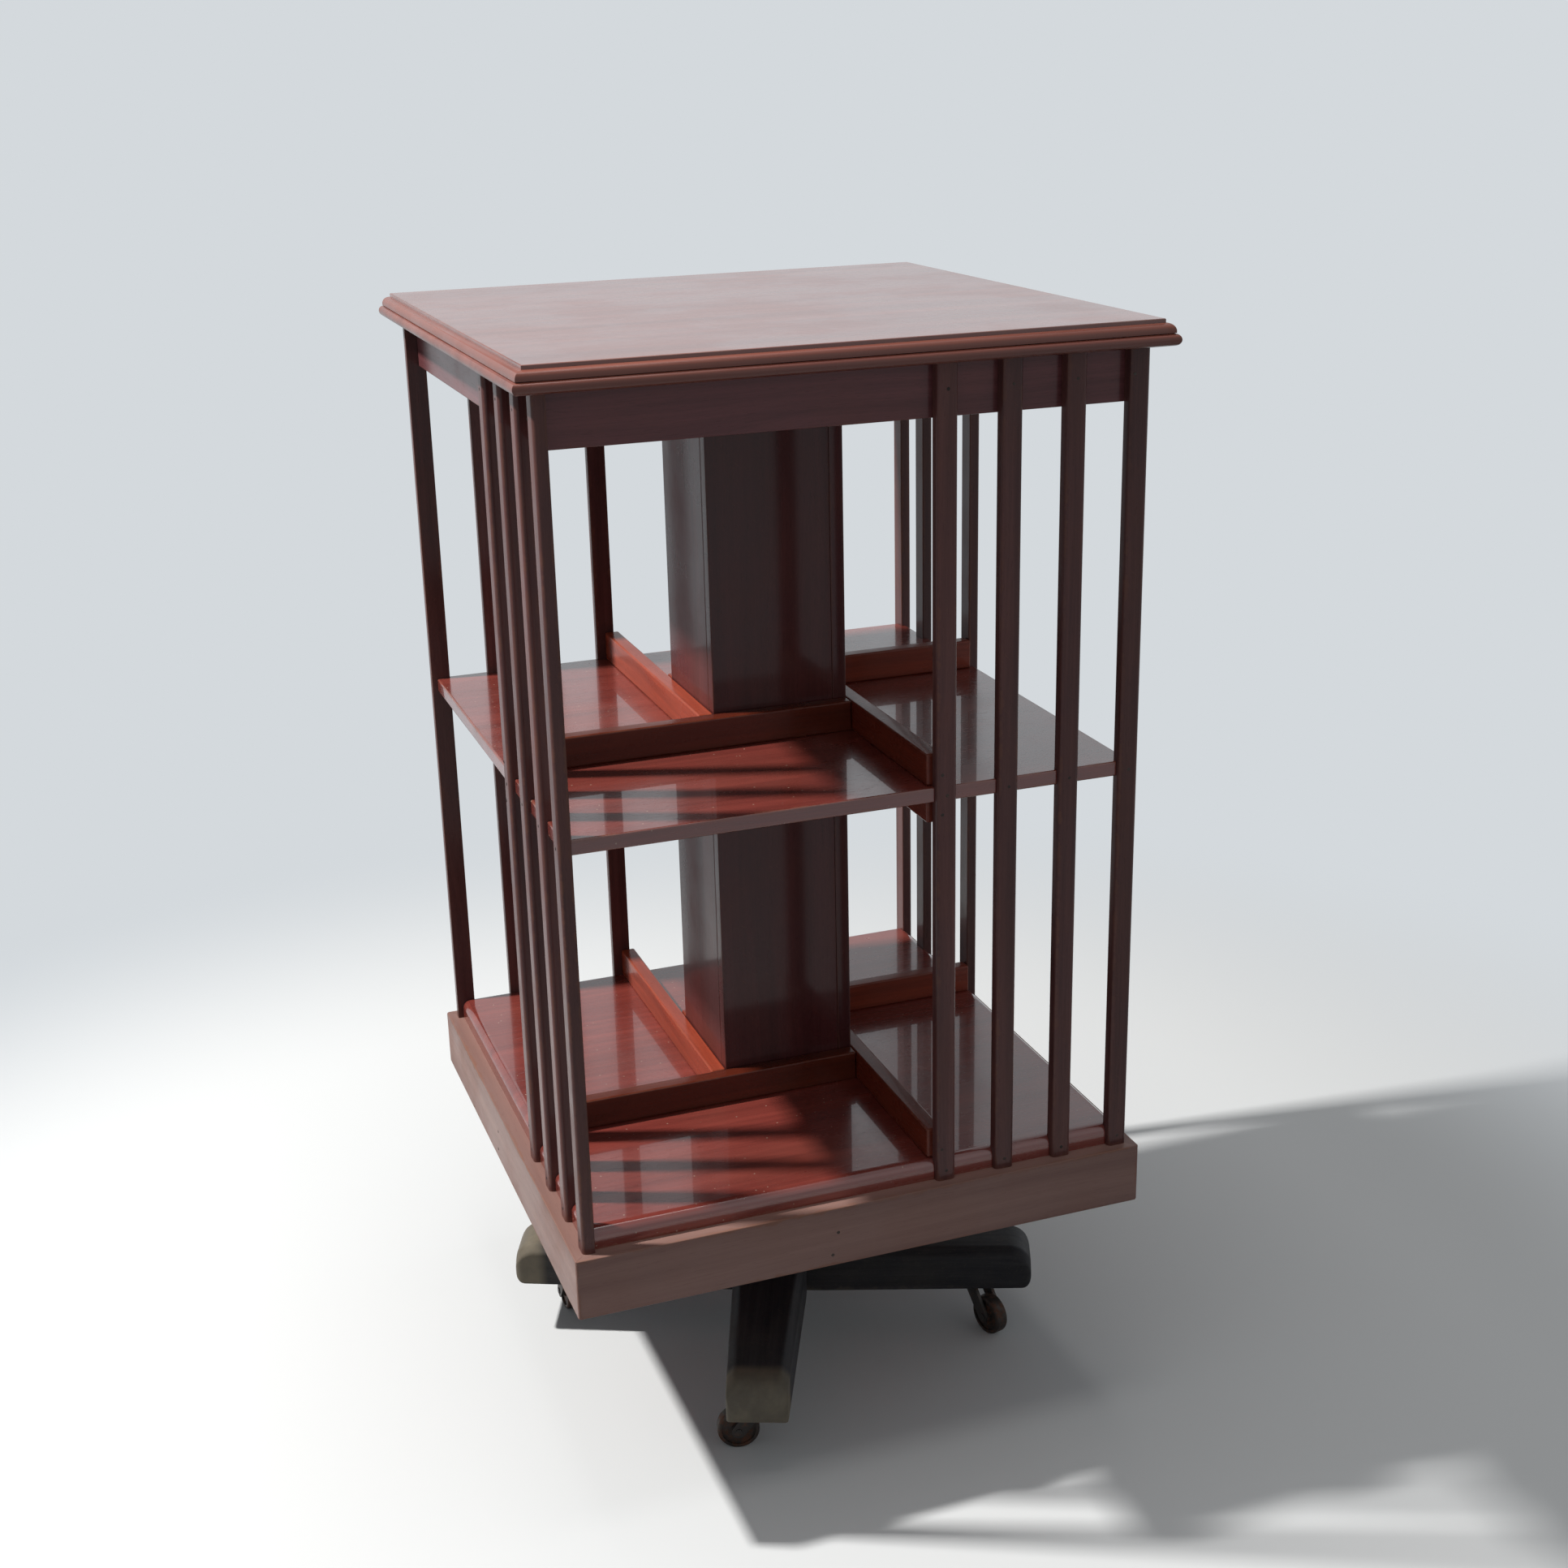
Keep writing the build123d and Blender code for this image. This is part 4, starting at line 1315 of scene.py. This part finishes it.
class BOOKCASE_OT_pins(bpy.types.Operator):
    """Make the pins that hold the slats"""

    bl_idname = "bookcase.pins"
    bl_label = "Slat pins"

    def execute(self, context):
        s = sizes()
        shades = colours()
        material = metal("Pin steel", shades.steel, shades.rust, rough=0.5, spread=0.2, shine=0.6)
        rows = [box_middle(*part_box(node)).z for node in ("mid_shelf", "bottom_board")]
        frieze_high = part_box("frieze_front")[1]
        frieze_row = frieze_high.z - s.frieze_pin_drop
        points = []
        for number in SLAT_NUMBERS:
            low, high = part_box(f"slat_front_{number}")
            middle = (low.x + high.x) / 2
            # The corner slat stands past the end of the frieze, so its upper pin is where the two lap
            upper = (low.x + min(high.x, frieze_high.x)) / 2
            points += [(middle, low.y, row) for row in rows]
            points.append((upper, low.y, frieze_row))
        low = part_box(f"slat_front_{SLAT_NUMBERS[-1]}")[0]
        column_half = -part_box("column_front")[0].y
        inner = (low.x + column_half + s.stop_thickness) / 2
        stops = ("upper_book_stops", "lower_book_stops")
        heights = [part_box(node)[0].z + s.stop_pin_rise for node in stops]
        heights.append(box_middle(*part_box("shelf_bearers")).z)
        points += [(inner, low.y, height) for height in heights]
        low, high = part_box("plinth_front")
        nails = s.plinth_nail_places
        for side, share in (nails[:2], nails[2:]):
            points.append((side, low.y, low.z + share * (high.z - low.z)))
        values = {
            "Head radius": s.pin_radius,
            "Head rise": s.pin_rise,
            "Length": s.pin_length,
            "Seed": PIN_SEED,
            "Material": material,
        }
        thing = nodes_piece("pins", pin_tree(), values, points_mesh("pins", points))
        finish_piece(thing, material, "carcass", ["slat_pins"])
        return {"FINISHED"}


class BOOKCASE_OT_screws(bpy.types.Operator):
    """Make the screws of the caster plates and of the two bearing plates"""

    bl_idname = "bookcase.screws"
    bl_label = "Plate screws"

    def execute(self, context):
        s = sizes()
        shades = colours()
        material = metal("Screw steel", shades.steel, shades.rust, rough=0.45, spread=0.24, shine=0.8)
        tree = screw_tree()
        plates_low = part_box("caster_plates")[0].z
        stand_points = []
        for turn in ARM_TURNS.values():
            axes = turned(cross_turn + turn) @ Matrix.Translation((caster_reach, 0.0, plates_low))
            stand_points += plate_corners(s.caster_screw_spacing, axes)
        marks = [0.0] * len(stand_points)
        bearing_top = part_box("bearing_plate")[1].z
        axes = turned(cross_turn) @ Matrix.Translation((0.0, 0.0, bearing_top))
        stand_points += plate_corners(s.plate_screw_spacing, axes)
        marks += [1.0] * len(CORNERS)
        pivot_axes = Matrix.Translation((0.0, 0.0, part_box("pivot_plate")[0].z))
        pivot_points = plate_corners(s.plate_screw_spacing, pivot_axes)
        values = {
            "Head radius": s.screw_radius,
            "Shank radius": s.screw_shank,
            "Head depth": s.screw_head,
            "Length": s.screw_length,
            "Slot": s.screw_slot,
            "Seed": SCREW_SEED,
            "Material": material,
        }
        for name, points, head_up, body, node in (
            ("foot_screws", stand_points, marks, "stand", "stand_screws"),
            ("pivot_screws", pivot_points, [0.0] * len(CORNERS), "carcass", "pivot_plate_screws"),
        ):
            thing = nodes_piece(name, tree, values, points_mesh(name, points, head_up))
            finish_piece(thing, material, body, [node])
        return {"FINISHED"}


def round_drop(past, radius):
    """How far a quarter round has dropped, this far past its start."""
    return radius - math.sqrt(max(0.0, radius**2 - max(0.0, past) ** 2))


def bar_shape(reach, height):
    """One bar of the cross in its own axes: x along it and z up, with worn round ends."""
    s = sizes()
    root = s.pedestal_side / 2
    taper = (s.foot_root_width - s.foot_end_width) / 2 / (reach - root)
    turns = [math.radians(90 * step / FOOT_STEPS) for step in range(FOOT_STEPS + 1)]
    ends = [reach - s.foot_end_round * (1 - math.sin(turn)) for turn in turns]
    stations = [-place for place in reversed(ends)] + [-root, root] + ends
    shape = bmesh.new()
    rings = []
    for station in stations:
        out = abs(station)
        drop = round_drop(out - reach + s.foot_end_round, s.foot_end_round)
        pull = round_drop(out - reach + s.foot_side_round, s.foot_side_round)
        rise = round_drop(out - reach + s.foot_under_round, s.foot_under_round)
        half = s.foot_root_width / 2 - taper * max(0.0, out - root) - pull
        top = height / 2 - drop
        low = rise - height / 2
        outline = [
            (-half, low),
            (half, low),
            (half, top - s.foot_chamfer),
            (half - s.foot_chamfer, top),
            (s.foot_chamfer - half, top),
            (-half, top - s.foot_chamfer),
        ]
        curve = rounded(outline, s.foot_arris)
        rings.append([shape.verts.new((station, y, z)) for y, z in curve])
    join_rings(shape, rings)
    shape.faces.new(rings[0])
    shape.faces.new(rings[-1])
    bmesh.ops.recalc_face_normals(shape, faces=shape.faces)
    return shape


class BOOKCASE_OT_stand(bpy.types.Operator):
    """Make the half-lapped cross and the pedestal block"""

    bl_idname = "bookcase.stand"
    bl_label = "Stand"

    def execute(self, context):
        s = sizes()
        shades = colours()
        material = wood(
            "Stand wood", shades.stand_dark, shades.stand_light, rough=0.6, coat=0.0, ribbon=0.35,
            wear=0.2, wear_width=0.005, shine=0.12, dust=0.05, dusty_end=0.032,
        )
        low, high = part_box("cross_bar_lower")
        height = high.z - low.z
        slant = math.radians(abs(cross_turn))
        reach = (high.x - s.foot_end_width / 2 * math.sin(slant)) / math.cos(slant)
        lap = s.foot_root_width / 2
        for name, node, turn, side, tone in (
            ("lower_bar", "cross_bar_lower", 0, 1, 0.4),
            ("upper_bar", "cross_bar_upper", 90, -1, 0.65),
        ):
            thing = shape_object(name, bar_shape(reach, height))
            corners = sorted((0.0, side * height))
            notch = (Vector((-lap, -lap, corners[0])), Vector((lap, lap, corners[1])))
            carve(thing, cutters("lap_cutter", [notch]))
            mark_one_board(thing, Matrix.Identity(4), Vector((reach, lap, height / 2)), tone)
            axes = turned(cross_turn + turn) @ Matrix.Translation((0.0, 0.0, (low.z + high.z) / 2))
            thing.data.transform(axes)
            finish_piece(thing, material, "stand", [node])

        low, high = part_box("pedestal_block")
        height = high.z - low.z
        shape = block((height, s.pedestal_side, s.pedestal_side))
        spans = {edge: abs(edge.verts[0].co.x - edge.verts[1].co.x) for edge in shape.edges}
        upright = [edge for edge, span in spans.items() if span > height / 2]
        soften(shape, upright, s.pedestal_chamfer, steps=1)
        soften(shape, shape.edges[:], s.arris)
        half = Vector((height, s.pedestal_side, s.pedestal_side)) / 2
        boards = Boards()
        # Its dusty end is the upper one, hidden in the plinth
        axes = turned(cross_turn) @ Matrix.Translation((0.0, 0.0, (low.z + high.z) / 2))
        axes = axes @ Matrix.Rotation(math.pi, 4, "X") @ UPRIGHT_AXES
        boards.add(shape, axes, half, 0.3)
        finish_piece(boards.thing("pedestal"), material, "stand", ["pedestal_block"])
        return {"FINISHED"}


class BOOKCASE_OT_ironwork(bpy.types.Operator):
    """Dress the casters, the spindle and its bearing"""

    bl_idname = "bookcase.ironwork"
    bl_label = "Casters and bearing"

    def execute(self, context):
        shades = colours()
        rust = shades.rust
        iron = metal("Dark iron", shades.iron, rust, rough=0.45, spread=0.26, shine=0.85)
        roller = metal("Rusty roller iron", shades.roller, rust, rough=0.55, spread=0.3, shine=0.6)
        bronze = metal("Bearing bronze", shades.bronze, shades.tarnish, rough=0.3, spread=0.2)
        for node in ("spindle", "bearing_plate", "pivot_plate", "caster_plates"):
            dress(node, iron)
        for node in ("thrust_washer", "spindle_bush"):
            dress(node, bronze)
        for arm in ARM_TURNS:
            dress(f"caster_horn_{arm}", iron)
            dress(f"caster_axle_{arm}", iron)
            dress(f"caster_wheel_{arm}", roller)
        return {"FINISHED"}


def soft_lamp(name, watts, side, spot, aim):
    """Square area lamp that faces a point."""
    lamp = bpy.data.lights.new(name, "AREA")
    lamp.energy = watts
    lamp.size = side
    thing = new_object(name, lamp)
    thing.location = spot
    thing.rotation_euler = (Vector(aim) - Vector(spot)).to_track_quat("-Z", "Y").to_euler()


def shown(sheet):
    """Share of the rays that show the background: the camera's, and those of mirrors and glass."""
    path = sheet.add("ShaderNodeLightPath").outputs
    mirrored = sheet.math("MAXIMUM", path["Is Glossy Ray"], path["Is Transmission Ray"])
    return sheet.math("MAXIMUM", path["Is Camera Ray"], mirrored)


def studio_paper(stage):
    """Paper that takes shadows near the bookcase and shows one even tone further off."""
    material, shader, sheet = new_material("Studio paper")
    seen = shown(sheet)
    tone = sheet.mix(seen, rgba(stage.bounce), rgba(stage.floor))
    sheet.fill(shader, {"Base Color": tone, "Roughness": 0.9})
    point = sheet.add("ShaderNodeTexCoord").outputs["Object"]
    distance = sheet.add("ShaderNodeVectorMath", {0: point}, operation="LENGTH").outputs["Value"]
    far = sheet.span(distance, stage.shadow_reach, 2 * stage.shadow_reach)
    share = sheet.times(seen, far)
    glow = sheet.out("ShaderNodeEmission", {"Color": rgba(stage.wall)})
    mixed = sheet.out("ShaderNodeMixShader", {0: share, 1: shader.outputs[0], 2: glow})
    sheet.feed(material.node_tree.nodes["Material Output"].inputs["Surface"], mixed)
    return material


class BOOKCASE_OT_stage(bpy.types.Operator):
    """Set the floor, the lamps and the camera"""

    bl_idname = "bookcase.stage"
    bl_label = "Stage"

    def execute(self, context):
        scene = context.scene
        stage = scene.bookcase_stage
        scene.view_settings.view_transform = "Standard"

        sweep_start = stage.backdrop_place - stage.backdrop_round
        line = [(-stage.floor_reach, 0.0)]
        line += arc((sweep_start, stage.backdrop_round), stage.backdrop_round, -90, 0, SWEEP_STEPS)
        line.append((stage.backdrop_place, stage.backdrop_height))
        shape = bmesh.new()
        rows = [
            [shape.verts.new((side * stage.floor_reach, y, z)) for side in (-1, 1)] for y, z in line
        ]
        for near, far in zip(rows, rows[1:]):
            shape.faces.new((near[0], near[1], far[1], far[0]))
        floor = shape_object("studio_floor", shape)
        floor.data.shade_smooth()
        floor.data.materials.append(studio_paper(stage))

        world = bpy.data.worlds.new("Even studio light")
        world.use_nodes = True
        sheet = Sheet(world.node_tree)
        seen = shown(sheet)
        light = {
            "Color": sheet.mix(seen, rgba(stage.sky_tint), rgba(stage.wall)),
            "Strength": sheet.span(seen, 0.0, 1.0, stage.sky, 1.0),
        }
        sheet.fill(world.node_tree.nodes["Background"], light)
        scene.world = world
        soft_lamp("Key lamp", stage.key, stage.key_side, stage.key_place, stage.aim)
        soft_lamp("Fill lamp", stage.fill, stage.fill_side, stage.fill_place, stage.aim)
        soft_lamp("Overhead lamp", stage.over, stage.over_side, stage.over_place, stage.aim)

        view = bpy.data.cameras.new("Camera")
        view.lens = stage.lens
        view.sensor_width = 36.0
        camera = new_object("Camera", view)
        upright = Matrix.Rotation(math.pi / 2 - stage.elevation, 4, "X")
        facing = Matrix.Rotation(stage.azimuth, 4, "Z")
        tilt = Matrix.Rotation(stage.roll, 4, "Z")
        camera.matrix_world = Matrix.Translation(stage.eye) @ facing @ upright @ tilt
        scene.camera = camera
        return {"FINISHED"}


OPERATORS = (
    BOOKCASE_OT_top_board,
    BOOKCASE_OT_frieze,
    BOOKCASE_OT_shelves,
    BOOKCASE_OT_plinth,
    BOOKCASE_OT_column,
    BOOKCASE_OT_slats,
    BOOKCASE_OT_battens,
    BOOKCASE_OT_pins,
    BOOKCASE_OT_stand,
    BOOKCASE_OT_ironwork,
    BOOKCASE_OT_screws,
    BOOKCASE_OT_stage,
)


class BOOKCASE_PT_panel(bpy.types.Panel):
    """Sidebar panel that lists the pieces"""

    bl_idname = "BOOKCASE_PT_panel"
    bl_label = "Revolving bookcase"
    bl_space_type = "VIEW_3D"
    bl_region_type = "UI"
    bl_category = "Bookcase"

    def draw(self, context):
        for operator in OPERATORS:
            self.layout.operator(operator.bl_idname)


CLASSES = (BookcaseSizes, BookcaseColours, BookcaseStage, *OPERATORS, BOOKCASE_PT_panel)


def register():
    for item in CLASSES:
        bpy.utils.register_class(item)
    bpy.types.Scene.bookcase_sizes = bpy.props.PointerProperty(type=BookcaseSizes)
    bpy.types.Scene.bookcase_colours = bpy.props.PointerProperty(type=BookcaseColours)
    bpy.types.Scene.bookcase_stage = bpy.props.PointerProperty(type=BookcaseStage)


def unregister():
    del bpy.types.Scene.bookcase_stage
    del bpy.types.Scene.bookcase_colours
    del bpy.types.Scene.bookcase_sizes
    for item in reversed(CLASSES):
        bpy.utils.unregister_class(item)


def main():
    register()
    bpy.ops.bookcase.top_board()
    bpy.ops.bookcase.frieze()
    bpy.ops.bookcase.shelves()
    bpy.ops.bookcase.plinth()
    bpy.ops.bookcase.column()
    bpy.ops.bookcase.slats()
    bpy.ops.bookcase.battens()
    bpy.ops.bookcase.pins()
    bpy.ops.bookcase.stand()
    bpy.ops.bookcase.ironwork()
    bpy.ops.bookcase.screws()
    bpy.ops.bookcase.stage()


if __name__ == "__main__":
    main()
